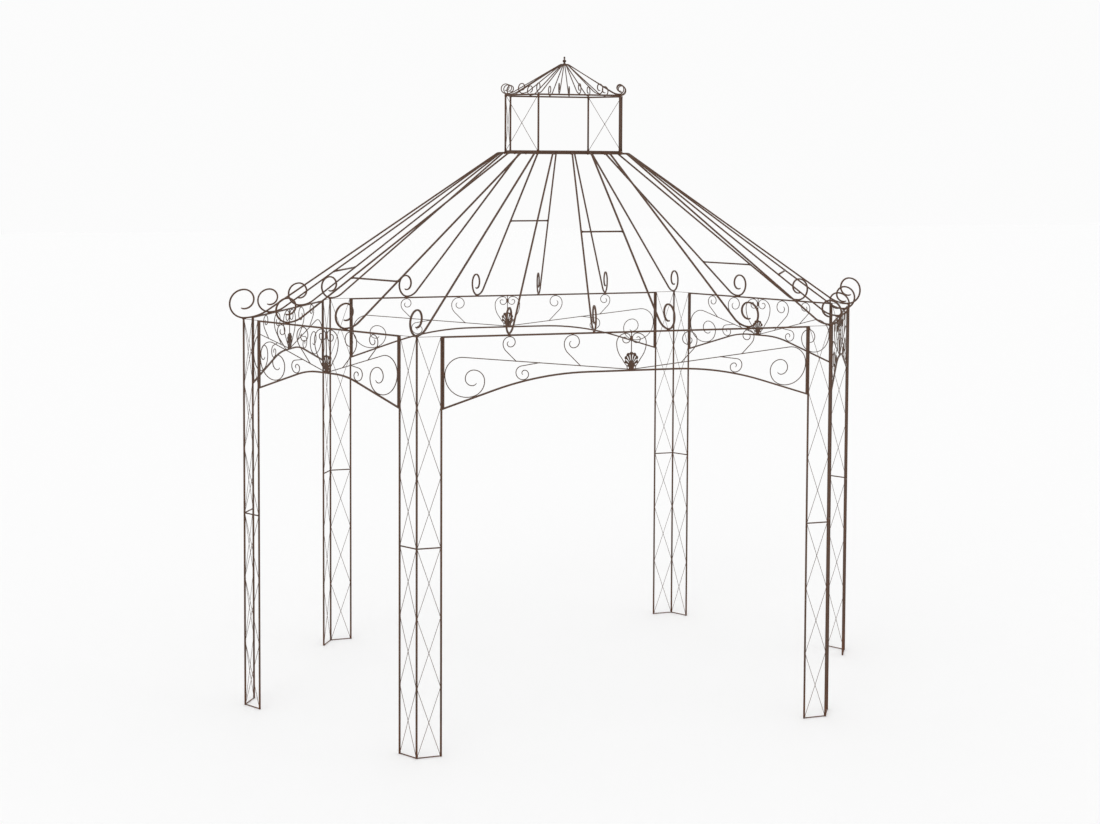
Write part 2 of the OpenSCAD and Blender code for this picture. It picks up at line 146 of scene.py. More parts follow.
def roundedSection(width, depth, radius, steps=2):
    # rounded rectangle: four quarter circles joined by flats, with a point in the middle of each flat;
    # the second result is 1 on the round corners and 0 on the flats, for the rubbed edges
    turn = np.linspace(0, 90, steps + 1)
    points, edge = [], []
    for n, (sx, sy) in enumerate([(1, 1), (-1, 1), (-1, -1), (1, -1)]):
        centre = np.array([sx * (width / 2 - radius), sy * (depth / 2 - radius)])
        points.append(centre + turned(turn + 90 * n) * radius)
        edge.append(np.where(np.isin(turn, (0, 90)), 0.55, 1.0))
        flat = np.array([[0, depth / 2], [-width / 2, 0], [0, -depth / 2], [width / 2, 0]])[n]
        points.append(flat[None])
        edge.append([0.0])
    return np.concatenate(points), np.concatenate(edge)


def squareBar(size, radius):
    # the same with equal sides
    return roundedSection(size, size, radius)


def roundSection(diameter, count=14):
    # circle of half the diameter, with no rubbed edges
    return turned(np.arange(count) * 360 / count) * diameter / 2, np.zeros(count)


def ringFaces(rows, columns, closed=False):
    # quads between the neighbouring rows of a tube, wound so that they face outwards
    i, j = np.meshgrid(np.arange(rows if closed else rows - 1), np.arange(columns), indexing="ij")
    a, b = i * columns + j, i * columns + (j + 1) % columns
    step = ((i + 1) % rows) * columns
    return np.stack([a, b, step + (j + 1) % columns, step + j], -1).reshape(-1, 4)


def fanFaces(first, columns, centre, flip):
    # triangles from a row of points to one centre point
    j = np.arange(columns)
    ring = np.stack([first + j, first + (j + 1) % columns], -1)
    return np.column_stack([np.full(columns, centre), ring[:, ::-1] if flip else ring])


def endFans(rows, columns):
    # fans that close the first and last rows on the two points after all rows
    return np.vstack([fanFaces(0, columns, rows * columns, True),
                      fanFaces((rows - 1) * columns, columns, rows * columns + 1, False)])


def closedForm(grid, ends, rows, columns, wear=0.0, weld=0.0, turnOver=False):
    # rows of points and two end points, as one closed skin: points, quads, triangles, wear and weld
    grid = np.vstack([grid, ends])
    quads, tris = ringFaces(rows, columns), endFans(rows, columns)
    if turnOver:  # where the rows run the other way round
        quads, tris = quads[:, ::-1], tris[:, ::-1]
    return grid, quads, tris, np.broadcast_to(wear, len(grid)), np.broadcast_to(weld, len(grid))


def sweep(path, side, section, ends=(0.12, 0.12), taper=(0, 0), closed=False, weld=0.0):
    # point = path + across * u + side * v, where across is side x tangent, made wider by 1 / cos of
    # half the bend at a kink; an end is a dome, ends times the half width long; taper gives the
    # lengths over which the two ends draw down to two thirds
    shape, edge = section
    path = np.asarray(path, float)
    keep = np.r_[True, np.linalg.norm(np.diff(path, axis=0), axis=1) > 1e-6]
    path = path[keep]
    legs = unit(np.diff(np.vstack([path, path[:1]]) if closed else path, axis=0))
    before = np.roll(legs, 1, 0) if closed else np.vstack([legs[:1], legs])
    after = legs if closed else np.vstack([legs, legs[-1:]])
    bend = unit(before + after)
    across = np.cross(side, bend) / np.maximum((bend * after).sum(1), 0.5)[:, None]
    scale = np.ones(len(path))
    half = np.abs(shape).max()
    if not closed:
        run = np.r_[0, np.cumsum(np.linalg.norm(np.diff(path, axis=0), axis=1))]
        for length, gone in ((taper[0], run), (taper[1], run[-1] - run)):
            if length:
                scale *= 1 - sweepForm["drawn"] * np.clip(1 - gone / length, 0, 1) ** sweepForm["drawnPower"]
        lift = np.radians(sweepForm["dome"])
        first = path[0] - legs[0] * (ends[0] * half * scale[0] * np.sin(lift))[:, None]
        last = path[-1] + legs[-1] * (ends[1] * half * scale[-1] * np.sin(lift[::-1]))[:, None]
        tips = [path[0] - legs[0] * ends[0] * half * scale[0],
                path[-1] + legs[-1] * ends[1] * half * scale[-1]]
        path = np.vstack([first, path, last])
        across = np.vstack([across[[0, 0]], across, across[[-1, -1]]])
        scale = np.r_[scale[0] * np.cos(lift), scale, scale[-1] * np.cos(lift[::-1])]
    rows, columns = len(path), len(shape)
    grid = (path[:, None] + across[:, None] * (shape[:, 0] * scale[:, None])[..., None]
            + np.asarray(side) * (shape[:, 1] * scale[:, None])[..., None]).reshape(-1, 3)
    wear = np.tile(edge, rows)
    if not closed:
        return closedForm(grid, tips, rows, columns, np.r_[wear, 0.5, 0.5], weld)
    return grid, ringFaces(rows, columns, True), np.zeros((0, 3), int), wear, np.full(len(grid), weld)


def turnedForm(profile, centre, count=40):
    # revolved form: point = centre + radius * (cos, sin) of the angle, at each height of the profile;
    # the first and last profile points lie on the axis
    profile = np.asarray(profile, float)
    body = profile[1:-1]
    angle = np.arange(count) * 2 * np.pi / count
    ring = np.stack([body[:, :1] * np.cos(angle), body[:, :1] * np.sin(angle),
                     np.repeat(body[:, 1:], count, 1)], -1).reshape(-1, 3)
    poles = np.array([[0, 0, profile[0, 1]], [0, 0, profile[-1, 1]]])
    return closedForm(ring + centre, poles + centre, len(body), count)


def smoothLine(points, count):
    # Catmull-Rom curve through the points: each span is the cubic with the neighbours' chords as slopes
    points = np.asarray(points, float)
    padded = np.vstack([2 * points[0] - points[1], points, 2 * points[-1] - points[-2]])
    t = np.linspace(0, len(points) - 1, count)
    n = np.minimum(t.astype(int), len(points) - 2)
    f = (t - n)[:, None]
    a, b, c, d = (padded[n + i] for i in range(4))
    return 0.5 * (2 * b + (c - a) * f + (2 * a - 5 * b + 4 * c - d) * f ** 2 + (3 * b - a - 3 * c + d) * f ** 3)


beadForm = {"rows": 5, "columns": 7, "lumps": 0.16, "wear": 0.3, "oddness": (91.7, 57.3, 73.1)}


def weldBeads(places, radii):
    # lumpy little ellipsoids: radius * (1 + lumps * a sine of the angles that differs from bead to bead)
    places = np.asarray(places, float).reshape(-1, 3)
    radii = np.broadcast_to(np.asarray(radii, float), places.shape)
    rows, columns = beadForm["rows"], beadForm["columns"]
    tilt = np.repeat(np.pi * (np.arange(rows) + 1) / (rows + 1), columns)
    spin = np.tile(np.arange(columns) * 2 * np.pi / columns, rows)
    ball = np.stack([np.sin(tilt) * np.cos(spin), np.sin(tilt) * np.sin(spin), -np.cos(tilt)], -1)
    ball = np.vstack([ball, [[0, 0, -1], [0, 0, 1]]])
    tilt, spin = np.r_[tilt, 0, np.pi], np.r_[spin, 0, 0]
    odd = (places @ np.array(beadForm["oddness"]))[:, None]
    lump = 1 + beadForm["lumps"] * np.sin(3 * spin + odd) * np.sin(2 * tilt + 1.7 * odd)
    grid = (places[:, None] + ball * lump[..., None] * radii[:, None]).reshape(-1, 3)
    size = rows * columns + 2
    offset = np.arange(len(places))[:, None, None] * size
    quads = (ringFaces(rows, columns)[None] + offset).reshape(-1, 4)
    tris = (endFans(rows, columns)[None] + offset).reshape(-1, 3)
    return grid, quads, tris, np.full(len(grid), beadForm["wear"]), np.ones(len(grid))


def makePiece(node, ending, parts, look):
    # joins the parts into one mesh that stands for a CAD node, with the rubbed edges and the welds as
    # point attributes
    start = np.cumsum([0] + [len(p[0]) for p in parts[:-1]])
    grid, wear, weld = (np.concatenate([p[n] for p in parts]) for n in (0, 3, 4))
    quads, tris = (np.concatenate([p[n] + first for p, first in zip(parts, start)]) for n in (1, 2))
    mesh = bpy.data.meshes.new(node + "_" + ending)
    mesh.from_pydata(grid.tolist(), [], quads.tolist() + tris.tolist())
    for label, values in (("edge", wear), ("weld", weld)):
        mesh.attributes.new(label, "FLOAT", "POINT").data.foreach_set("value", values.astype(np.float32))
    mesh.polygons.foreach_set("use_smooth", np.ones(len(mesh.polygons), bool))
    mesh.materials.append(look)
    mesh.update()
    piece = bpy.data.objects.new(node + "_" + ending, mesh)
    bpy.context.scene.collection.objects.link(piece)
    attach(piece, "root")
    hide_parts(node)
    pieceCount.append(len(quads) * 2 + len(tris))


pieceCount = []


# finishes: shared effects as node groups, one material for each kind of iron; each pair is the range
# of a noise that turns into a mask from 0 to 1
effectForm = {"speck": (0.58, 0.72), "rust": (0.56, 0.86), "rubbed": (0.38, 0.62), "ground": 0.75,
              "rustRoughness": 0.65}


def newGroup(name, inputs, outputs):
    # node group with named number sockets, its input and output, and the object's own coordinates
    group = bpy.data.node_groups.new(name, "ShaderNodeTree")
    for way, labels in (("INPUT", inputs), ("OUTPUT", outputs)):
        for label in labels:
            group.interface.new_socket(name=label, in_out=way, socket_type="NodeSocketFloat")
    where = addNode(group, "ShaderNodeTexCoord", (0, 1))
    return group, group.nodes.new("NodeGroupInput"), group.nodes.new("NodeGroupOutput"), where


def addNode(tree, kind, place, links=(), **settings):
    # node at a column and row of the graph, with its settings and incoming links
    node = tree.nodes.new(kind)
    node.location = (place[0] * 190, place[1] * -190)
    for name, value in settings.items():
        setattr(node, name, value)
    for socket, target in links:
        tree.links.new(socket, node.inputs[target])
    return node


def addMath(tree, place, operation, *values, clamp=False):
    # each value is a socket to link or a number to set
    node = addNode(tree, "ShaderNodeMath", place, operation=operation, use_clamp=clamp)
    for n, value in enumerate(values):
        if isinstance(value, (int, float)):
            node.inputs[n].default_value = value
        else:
            tree.links.new(value, node.inputs[n])
    return node.outputs[0]


def addNoise(tree, place, where, scale, detail, roughness=0.5):
    # noise of the object's own coordinates
    node = addNode(tree, "ShaderNodeTexNoise", place, [(where.outputs["Object"], "Vector"), (scale, "Scale")])
    node.inputs["Detail"].default_value, node.inputs["Roughness"].default_value = detail, roughness
    return node.outputs["Fac"]


def addRange(tree, place, value, fromLow, fromHigh, toLow=0.0, toHigh=1.0):
    # value carried from one range to another and held at its ends
    node = addNode(tree, "ShaderNodeMapRange", place, [(value, "Value")])
    for label, number in (("From Min", fromLow), ("From Max", fromHigh), ("To Min", toLow), ("To Max", toHigh)):
        node.inputs[label].default_value = number
    return node


def buildMottle():
    # broad and fine noise, added and stretched to a 0 to 1 mask
    group, take, give, where = newGroup("coatMottle", ["Broad", "Fine", "Contrast"], ["Mask", "Speck"])
    broad = addNoise(group, (1, 0), where, take.outputs["Broad"], 4)
    fine = addNoise(group, (1, 1), where, take.outputs["Fine"], 3)
    centred = addMath(group, (3, 0), "SUBTRACT", addMath(group, (2, 0), "ADD", broad, fine), 1.0)
    stretched = addMath(group, (4, 0), "MULTIPLY", centred, take.outputs["Contrast"])
    group.links.new(addMath(group, (5, 0), "ADD", stretched, 0.5, clamp=True), give.inputs["Mask"])
    group.links.new(addRange(group, (5, 1), fine, *effectForm["speck"]).outputs["Result"], give.inputs["Speck"])
    return group


def buildRust():
    # rust = weld attribute or nearness to the ground, broken up by noise and cut at a threshold
    group, take, give, where = newGroup("rustBloom", ["Amount", "Scale", "Ground"], ["Mask"])
    height = addNode(group, "ShaderNodeSeparateXYZ", (1, 0), [(where.outputs["Object"], 0)])
    ground = addRange(group, (2, 0), height.outputs["Z"], 0.0, 1.0, effectForm["ground"], 0.0)
    group.links.new(take.outputs["Ground"], ground.inputs["From Max"])
    weld = addNode(group, "ShaderNodeAttribute", (1, 1), attribute_name="weld")
    near = addMath(group, (3, 0), "MAXIMUM", ground.outputs["Result"], weld.outputs["Fac"])
    noise = addNoise(group, (2, 2), where, take.outputs["Scale"], 6, effectForm["rustRoughness"])
    broken = addMath(group, (4, 1), "MULTIPLY_ADD", near, noise, noise)
    spread = addRange(group, (5, 1), broken, *effectForm["rust"])
    mask = addMath(group, (6, 1), "MULTIPLY", spread.outputs["Result"], take.outputs["Amount"], clamp=True)
    group.links.new(mask, give.inputs["Mask"])
    return group


def buildRubbed():
    # rubbed edges = edge attribute, eaten into by noise
    group, take, give, where = newGroup("rubbedEdges", ["Strength", "Scale"], ["Mask"])
    edge = addNode(group, "ShaderNodeAttribute", (0, 1), attribute_name="edge")
    noise = addNoise(group, (1, 0), where, take.outputs["Scale"], 5)
    eaten = addMath(group, (2, 0), "MULTIPLY", edge.outputs["Fac"], noise)
    cut = addRange(group, (3, 0), eaten, *effectForm["rubbed"])
    mask = addMath(group, (4, 0), "MULTIPLY", cut.outputs["Result"], take.outputs["Strength"])
    group.links.new(mask, give.inputs["Mask"])
    return group


def buildForged():
    # forged skin: shallow hammered dimples (smooth cells) plus a fine grain, as one height
    group, take, give, where = newGroup("forgedSkin", ["Dimples", "Grain", "Grain share"], ["Height"])
    cells = addNode(group, "ShaderNodeTexVoronoi", (1, 0), [(where.outputs["Object"], "Vector"),
                    (take.outputs["Dimples"], "Scale")], feature="SMOOTH_F1")
    grain = addNoise(group, (1, 1), where, take.outputs["Grain"], 3)
    height = addMath(group, (2, 0), "MULTIPLY_ADD", grain, take.outputs["Grain share"],
                     cells.outputs["Distance"])
    group.links.new(height, give.inputs["Height"])
    return group


effects = {"mottle": buildMottle(), "rust": buildRust(), "rubbed": buildRubbed(), "forged": buildForged()}


def placeGroup(tree, name, place, **values):
    # one of the shared effects, with this material's own values
    node = addNode(tree, "ShaderNodeGroup", place, node_tree=effects[name])
    for label, value in values.items():
        node.inputs[label.replace("_", " ")].default_value = value
    return node


def mixColours(tree, place, factor, first, second):
    # first colour turning to the second by the factor; each is a colour or a socket
    node = addNode(tree, "ShaderNodeMix", place, [(factor, "Factor")], data_type="RGBA")
    for socket, value in ((node.inputs["A"], first), (node.inputs["B"], second)):
        if isinstance(value, tuple):
            socket.default_value = (*value, 1)
        else:
            tree.links.new(value, socket)
    return node.outputs["Result"]


def ironLook(name, p):
    # coat, specks, rubbed edges and rust in layers; roughness and metal follow the same masks
    look = bpy.data.materials.new(name)
    look.use_nodes = True
    tree = look.node_tree
    shader = tree.nodes["Principled BSDF"]
    mottle = placeGroup(tree, "mottle", (-6, 0), Broad=p["patch"], Fine=p["speckle"], Contrast=p["contrast"])
    rust = placeGroup(tree, "rust", (-6, 2), Amount=p["rust"], Scale=p["rustScale"], Ground=p["splash"])
    rubbed = placeGroup(tree, "rubbed", (-6, 4), Strength=p["rubbed"], Scale=p["rustScale"])
    forged = placeGroup(tree, "forged", (-6, 6), Dimples=p["dimples"], Grain=p["grain"],
                        Grain_share=p["grainShare"])
    colour = p["coat"]
    layers = ((mottle, "Mask", "coatWarm"), (mottle, "Speck", "speck"), (rubbed, "Mask", "bare"),
              (rust, "Mask", "rustColour"))
    for n, (effect, socket, over) in enumerate(layers):
        colour = mixColours(tree, (n - 4, 0), effect.outputs[socket], colour, p[over])
    tree.links.new(colour, shader.inputs["Base Color"])
    shader.inputs["Specular IOR Level"].default_value = p["gloss"]
    rough = addRange(tree, (-3, 2), mottle.outputs["Mask"], 0.0, 1.0, *p["roughness"])
    rusty = addMath(tree, (-2, 2), "MULTIPLY_ADD", rust.outputs["Mask"], p["rustRough"],
                    rough.outputs["Result"], clamp=True)
    tree.links.new(rusty, shader.inputs["Roughness"])
    metal = addMath(tree, (-2, 3), "MULTIPLY_ADD", rubbed.outputs["Mask"], p["bareMetal"], p["metal"],
                    clamp=True)
    tree.links.new(metal, shader.inputs["Metallic"])
    bump = addNode(tree, "ShaderNodeBump", (-2, 5), [(forged.outputs["Height"], "Height")])
    bump.inputs["Strength"].default_value = p["bump"]
    bump.inputs["Distance"].default_value = p["dimpleDepth"]
    tree.links.new(bump.outputs["Normal"], shader.inputs["Normal"])
    return look


barFinish = {"coat": (0.066, 0.034, 0.020), "coatWarm": (0.098, 0.050, 0.030), "speck": (0.135, 0.070, 0.042),
             "bare": (0.170, 0.125, 0.095), "rustColour": (0.150, 0.050, 0.018), "patch": 7.0, "speckle": 150.0,
             "rust": 0.55, "rustScale": 55.0, "rubbed": 0.35, "dimples": 60.0, "roughness": (0.48, 0.68),
             "rustRough": 0.25, "metal": 0.12, "bareMetal": 0.5, "gloss": 0.32, "bump": 0.35,
             "dimpleDepth": 0.0006, "contrast": 2.2, "grain": 420.0, "grainShare": 0.35, "splash": 0.3}
scrollFinish = dict(barFinish, coat=(0.060, 0.036, 0.024), coatWarm=(0.088, 0.050, 0.033), patch=14.0,
                    dimples=110.0, rust=0.45, bump=0.3)
castFinish = dict(barFinish, coat=(0.046, 0.026, 0.016), coatWarm=(0.086, 0.044, 0.026), patch=40.0,
                  speckle=320.0, dimples=180.0, rubbed=0.55, bump=0.45)
barIron = ironLook("bar_iron", barFinish)
scrollIron = ironLook("scroll_iron", scrollFinish)
castIron = ironLook("cast_iron", castFinish)
print("finishes made")

# posts: three round bars, two wings of crossed wires
postForm = {"wire": 0.003, "middleBar": 0.008, "footBar": 0.006, "crosses": 3, "sunk": 0.002, "bow": 0.0014,
            "beadOut": 0.0004, "rounding": 0.06, "wingBead": (0.0024, 0.0024, 0.0044),
            "crossBead": (0.0021, 0.0021, 0.0034)}
crossing = {"from": 0.36, "to": 0.64, "spread": 0.07, "steps": 9}  # where two wires bow round each other


def crossedWires(plane, lowLeft, highRight, p):
    # two straight diagonals; at the middle one bows out and the other in, by a bell curve
    share = np.linspace(crossing["from"], crossing["to"], crossing["steps"])
    share = np.r_[0, 0.2, share, 0.8, 1][:, None]
    bell = np.exp(-((share - 0.5) / crossing["spread"]) ** 2) * p["bow"]
    reach, lift = highRight[0] - lowLeft[0], highRight[1] - lowLeft[1]
    wires = []
    for start, rise, hand in ((lowLeft[1], lift, 1), (highRight[1], -lift, -1)):
        flat = np.hstack([lowLeft[0] + reach * share, start + rise * share])
        path = plane.place(flat) + plane.side * bell * hand
        wires.append(sweep(path, plane.side, roundSection(p["wire"], 8)))
    return wires


def roundPost(spot, bottom, top, diameter):
    # upright round bar at a plan point
    section = roundSection(diameter - plan["shave"], 24)
    return sweep([[*spot, bottom], [*spot, top]], np.array([1.0, 0, 0]), section)


def buildPost(k, p):
    # corner bar, and in each of its two directions an outer bar, crossed wires and three crossbars
    corner, width = eave[k], plan["wingWidth"]
    height, bar = plan["postHeight"], plan["postBar"]
    cell = height / (2 * p["crosses"])
    inner, outer = p["sunk"], width - p["sunk"]
    # the wires meet a bar's surface a little above and below each level, by their slope
    near = bar / 2 + p["beadOut"]
    off = (near - inner) * cell / (outer - inner)
    levels = np.arange(2 * p["crosses"] + 1) * cell
    levels = np.r_[levels[:-1] + off, levels[1:] - off]
    bands = [(height - p["wire"] / 2, p["wire"], 8), (height / 2, p["middleBar"], 16),
             (p["footBar"] / 2, p["footBar"] - plan["shave"] / 2, 14)]  # height, diameter, columns
    parts, beads, small, ends = [], [], [], [corner]
    for target in (eave[(k + 1) % 6], eave[(k + 5) % 6]):
        plane = Upright(corner, unit(target - corner))
        ends.append(corner + plane.way * width)
        for n in range(2 * p["crosses"]):
            bottom = max(n * cell, p["footBar"] / 2)
            top = min((n + 1) * cell, height - p["wire"] / 2)
            parts += crossedWires(plane, (inner, bottom), (outer, top), p)
            small.append(plane.place([[width / 2, (bottom + top) / 2]]))
        for z, size, count in bands:
            parts.append(sweep(plane.place([[inner, z], [outer, z]]), plane.side, roundSection(size, count)))
        for reach in (near, width - near):
            beads.append(plane.place(np.column_stack([np.full(len(levels), reach), levels])))
    rounding = bar * p["rounding"]  # left for the domed ends
    parts += [roundPost(spot, rounding, height - rounding, bar) for spot in ends]
    parts.append(weldBeads(np.concatenate(beads), p["wingBead"]))
    parts.append(weldBeads(np.concatenate(small), p["crossBead"]))
    makePiece("post_" + postNames[k], "bars", parts, barIron)


for k in range(6):
    buildPost(k, postForm)
print("posts done")

# arched panels, drawn outwards from the middle of a side: u along it, z up; two values are those of
# the long and the short sides
archForm = {"slope": 17.6, "bend": (1.8, 0.6), "level": (0.262, 0.073), "round": 0.0018,
            "bead": (0.0021, 0.0021, 0.0070), "beadOut": 0.0042, "topSeam": 0.012, "footSeam": 0.02}
eaveZ = plan["postHeight"] - barOff
wireOff = (plan["frameBar"] + plan["scrollWire"]) / 2 + plan["seat"]

# the shell's outline, which the scrollwork follows too
shellPlan = {"width": 0.092, "height": 0.100, "petals": 7, "spread": 50, "longest": 0.79, "fall": 0.3,
             "lobe": 0.092 * 0.13, "fan": 0.100 * 0.22, "slotHalf": 0.092 * 0.03, "slotOpens": 0.4,
             "slotFrom": 0.38, "slotTo": 0.78}


class Panel(Upright):
    # the sizes of one arched panel and its own plane
    def __init__(self, k):
        pick = 0 if isLong(k) else 1
        self.k = k
        self.half = sideLength(eave, k) / 2 - uprightU
        self.crown = plan["crown"][pick]
        self.bend, self.level = archForm["bend"][pick], archForm["level"][pick]
        self.shellBase = self.crown + barOff + plan["seat"]
        self.fan = self.shellBase + shellPlan["fan"]  # centre of the shell's fan
        super().__init__((eave[k] + eave[(k + 1) % 6]) / 2, sideWay(eave, k))

    def archZ(self, u):
        # crown, less the drop of the bend's circle, then less the straight slope
        slope = np.radians(archForm["slope"])
        v, w = u - self.level, self.bend * np.sin(slope)
        if v <= 0:
            return self.crown
        if v <= w:
            return self.crown - self.bend + np.sqrt(self.bend ** 2 - v ** 2)
        return self.crown - self.bend * (1 - np.cos(slope)) - (v - w) * np.tan(slope)

    def tilt(self, u):
        # slope of the arch at u, in degrees
        bent = np.degrees(np.arcsin(np.clip((u - self.level) / self.bend, 0, 1)))
        return float(min(archForm["slope"], bent))


panels = [Panel(k) for k in range(6)]


def buildArch(panel, p):
    # one closed bar: top bar, upright, arch and back again, mitred at its four corners
    slope = np.radians(p["slope"])
    run = (panel.half - panel.level - panel.bend * np.sin(slope)) / np.cos(slope)
    arch = tracePath((0, panel.crown), 0, [(0, panel.level), (panel.bend, -p["slope"]), (0, run)])
    right = np.vstack([[0, eaveZ], [panel.half, eaveZ], arch[::-1]])
    outline = np.vstack([right, (arch[1:] * [-1, 1]), [-panel.half, eaveZ]])
    section = squareBar(plan["frameBar"] - plan["shave"] / 2, p["round"])
    parts = [sweep(panel.place(outline)[::-1], panel.side, section, closed=True)]
    beads = []
    for hand in (-1, 1):
        foot = panel.archZ(panel.half)
        for z in (eaveZ - p["topSeam"], foot + p["footSeam"], (eaveZ + foot) / 2):
            seam = panel.place([[panel.half + barOff + plan["seat"], z]] * 2, hand)
            beads.append(seam + panel.side * np.array([[-1], [1]]) * p["beadOut"])
    parts.append(weldBeads(np.concatenate(beads), p["bead"]))
    makePiece("arch_" + sideNames[panel.k], "bar", parts, barIron)


for panel in panels:
    buildArch(panel, archForm)
print("arches done")

# scrollwork: the same wires on both halves of a panel, drawn round the outline of its shell
scrollForm = {"start": 0.23, "turn": 0.095, "swing": 0.128, "swingShares": (0.66, 0.5, 0.36, 0.32, 0.2),
              "risingLong": (0.32, 0.655), "risingShort": (0.34, 0.66),
              "hangingLong": 0.575, "hangingShort": 0.42,
              "risingStem": (0.29, 0.43), "risingTip": (0.23, 0.2, 0.14, 0.09),
              "hangingStem": (0.42, 0.36), "hangingTip": (0.29, 0.24, 0.15, 0.1), "hangingEase": 8,
              "heartTip": (0.135, 0.125, 0.1, 0.06, 0.05), "heartFlank": (0.26, 0.64), "heartWaist": 0.275,
              "heartMeets": -30, "tailSteps": 12, "restBead": 0.6,
              "round": 0.0016, "tip": 0.018, "dome": 0.9, "bead": (0.0036, 0.0036, 0.0036),
              "collar": {"width": 0.0172, "depth": 0.0066, "height": 0.024, "round": 0.0018, "end": 0.08,
                         "weld": 0.35}}


def petalLength(angle):
    # share of the shell's height that falls off with the square of the angle
    share = shellPlan["longest"] - shellPlan["fall"] * (angle / shellPlan["spread"]) ** 2
    return shellPlan["height"] * share


def shareArcs(size, shares, turns):
    # arcs whose radii are shares of one size
    return [(size * share, turn) for share, turn in zip(shares, turns)]


scrollTop = eaveZ - wireOff


def mainScroll(panel, p):
    # a straight from beside the shell, tangent to the turn by the upright, then ever smaller quarters;
    # gives the wire, its contacts and the start and slope of its straight
    start = np.array([shellPlan["width"] * p["start"], panel.crown + wireOff])
    touch = panel.half - wireOff
    swingU = touch - p["swing"]
    slope = archForm["slope"]
    swingZ = panel.archZ(swingU) + (p["swing"] + wireOff) / np.cos(np.radians(slope))
    reach = np.array([touch - p["turn"], swingZ]) - start
    length = np.linalg.norm(reach)
    angle = np.degrees(np.arctan2(reach[1], reach[0]) + np.arcsin(p["turn"] / length))
    s = p["swing"]
    steps = [(0, np.sqrt(length ** 2 - p["turn"] ** 2)), (p["turn"], -90 - angle), (s, -90 - slope)]
    steps += shareArcs(s, p["swingShares"], (-90 + slope, -90, -90, -90, -60))
    lean = s * np.sin(np.radians(slope))
    contacts = [start, [touch + wireOff - barOff, swingZ], [swingU - lean, panel.archZ(swingU - lean) + barOff]]
    return (tracePath(start, angle, steps), (0, p["tip"]), contacts), (start, np.tan(np.radians(angle)))


def lineZ(line, u):
    # height at u of the main wire's straight
    start, lean = line
    return start[1] + (u - start[0]) * lean


def risingCurl(u, line, p):
    # from the main wire up to the top bar at u and round in ever smaller quarters
    h = scrollTop - lineZ(line, u)
    stem = tracePath((u, scrollTop), 0, shareArcs(h, p["risingStem"], (-90, -45)))
    tip = tracePath((u, scrollTop), 180, shareArcs(h, p["risingTip"], (90, 90, 90, 65)))
    foot = stem[-1] - (stem[-1, 1] - lineZ(line, stem[-1, 0])) / (1 - line[1])
    contacts = [foot, [u, scrollTop + plan["scrollWire"] / 2]]
    return np.vstack([foot, stem[::-1], tip[1:]]), (0, p["tip"]), contacts


def hangingCurl(panel, line, p):
    # from the main wire down to the arch, where it lies at the arch's slope, and round in smaller quarters
    u = panel.half * (p["hangingLong"] if isLong(panel.k) else p["hangingShort"])
    tilt = panel.tilt(u)
    seat = np.array([u, panel.archZ(u)]) + wireOff * turned(90 - tilt)
    h = lineZ(line, u) - seat[1]
    stem = tracePath(seat, -tilt, shareArcs(h, p["hangingStem"], (90 + tilt, 90 - p["hangingEase"])))
    tip = tracePath(seat, 180 - tilt, shareArcs(h, p["hangingTip"], (-90 + tilt, -90, -90, -65)))
    ease = np.tan(np.radians(p["hangingEase"]))
    rest = (lineZ(line, stem[-1, 0]) - stem[-1, 1]) / (line[1] + ease)
    foot = stem[-1] + [-rest, rest * ease]
    contacts = [foot, seat - wireOff * p["restBead"] * turned(90 - tilt)]
    return np.vstack([tip[::-1], stem[1:], foot]), (p["tip"], 0), contacts


def halfHeart(panel, start, p):
    # from a curl under the top bar round by quarters, and by a smooth curve past the shell's rim and
    # waist down to the main wire's start
    h = scrollTop - panel.crown
    u = plan["scrollWire"] + plan["seat"] + h * p["heartTip"][0]
    tip = tracePath((u, scrollTop), 180, shareArcs(h, p["heartTip"], (90, 90, 90, 90, 60)))
    flank = tracePath((u, scrollTop), 0, shareArcs(h, p["heartFlank"], (-90, -40)))
    clear = plan["scrollWire"] / 2 + 2 * plan["seat"]
    base, spread = np.array([0, panel.fan]), shellPlan["spread"]
    meets = turned(p["heartMeets"])
    rim = base + turned(90 - spread) * (petalLength(spread) - shellPlan["lobe"])
    rim = rim + meets * (shellPlan["lobe"] + clear)
    waist = base + [shellPlan["width"] * p["heartWaist"] + clear, 0]
    foot = start + [plan["scrollWire"] / 2, 0]
    n = p["tailSteps"]  # points a span; the first span only sets the slope
    tail = smoothLine([flank[-2], flank[-1], rim, waist, foot], 4 * n + 1)[n:]
    contacts = [[u, scrollTop + plan["scrollWire"] / 2], rim - meets * plan["scrollWire"] / 2]
    return np.vstack([tip[::-1], flank[1:], tail]), (p["tip"], 0), contacts


def heartCollar(panel, lobe, p):
    # band round the two heart lobes and the bar between them
    z = scrollTop - lobe + np.array([-0.5, 0.5]) * p["height"]
    band = roundedSection(p["width"], p["depth"], p["round"])
    return sweep(panel.place(np.column_stack([[0, 0], z])), panel.side, band, [p["end"]] * 2, weld=p["weld"])


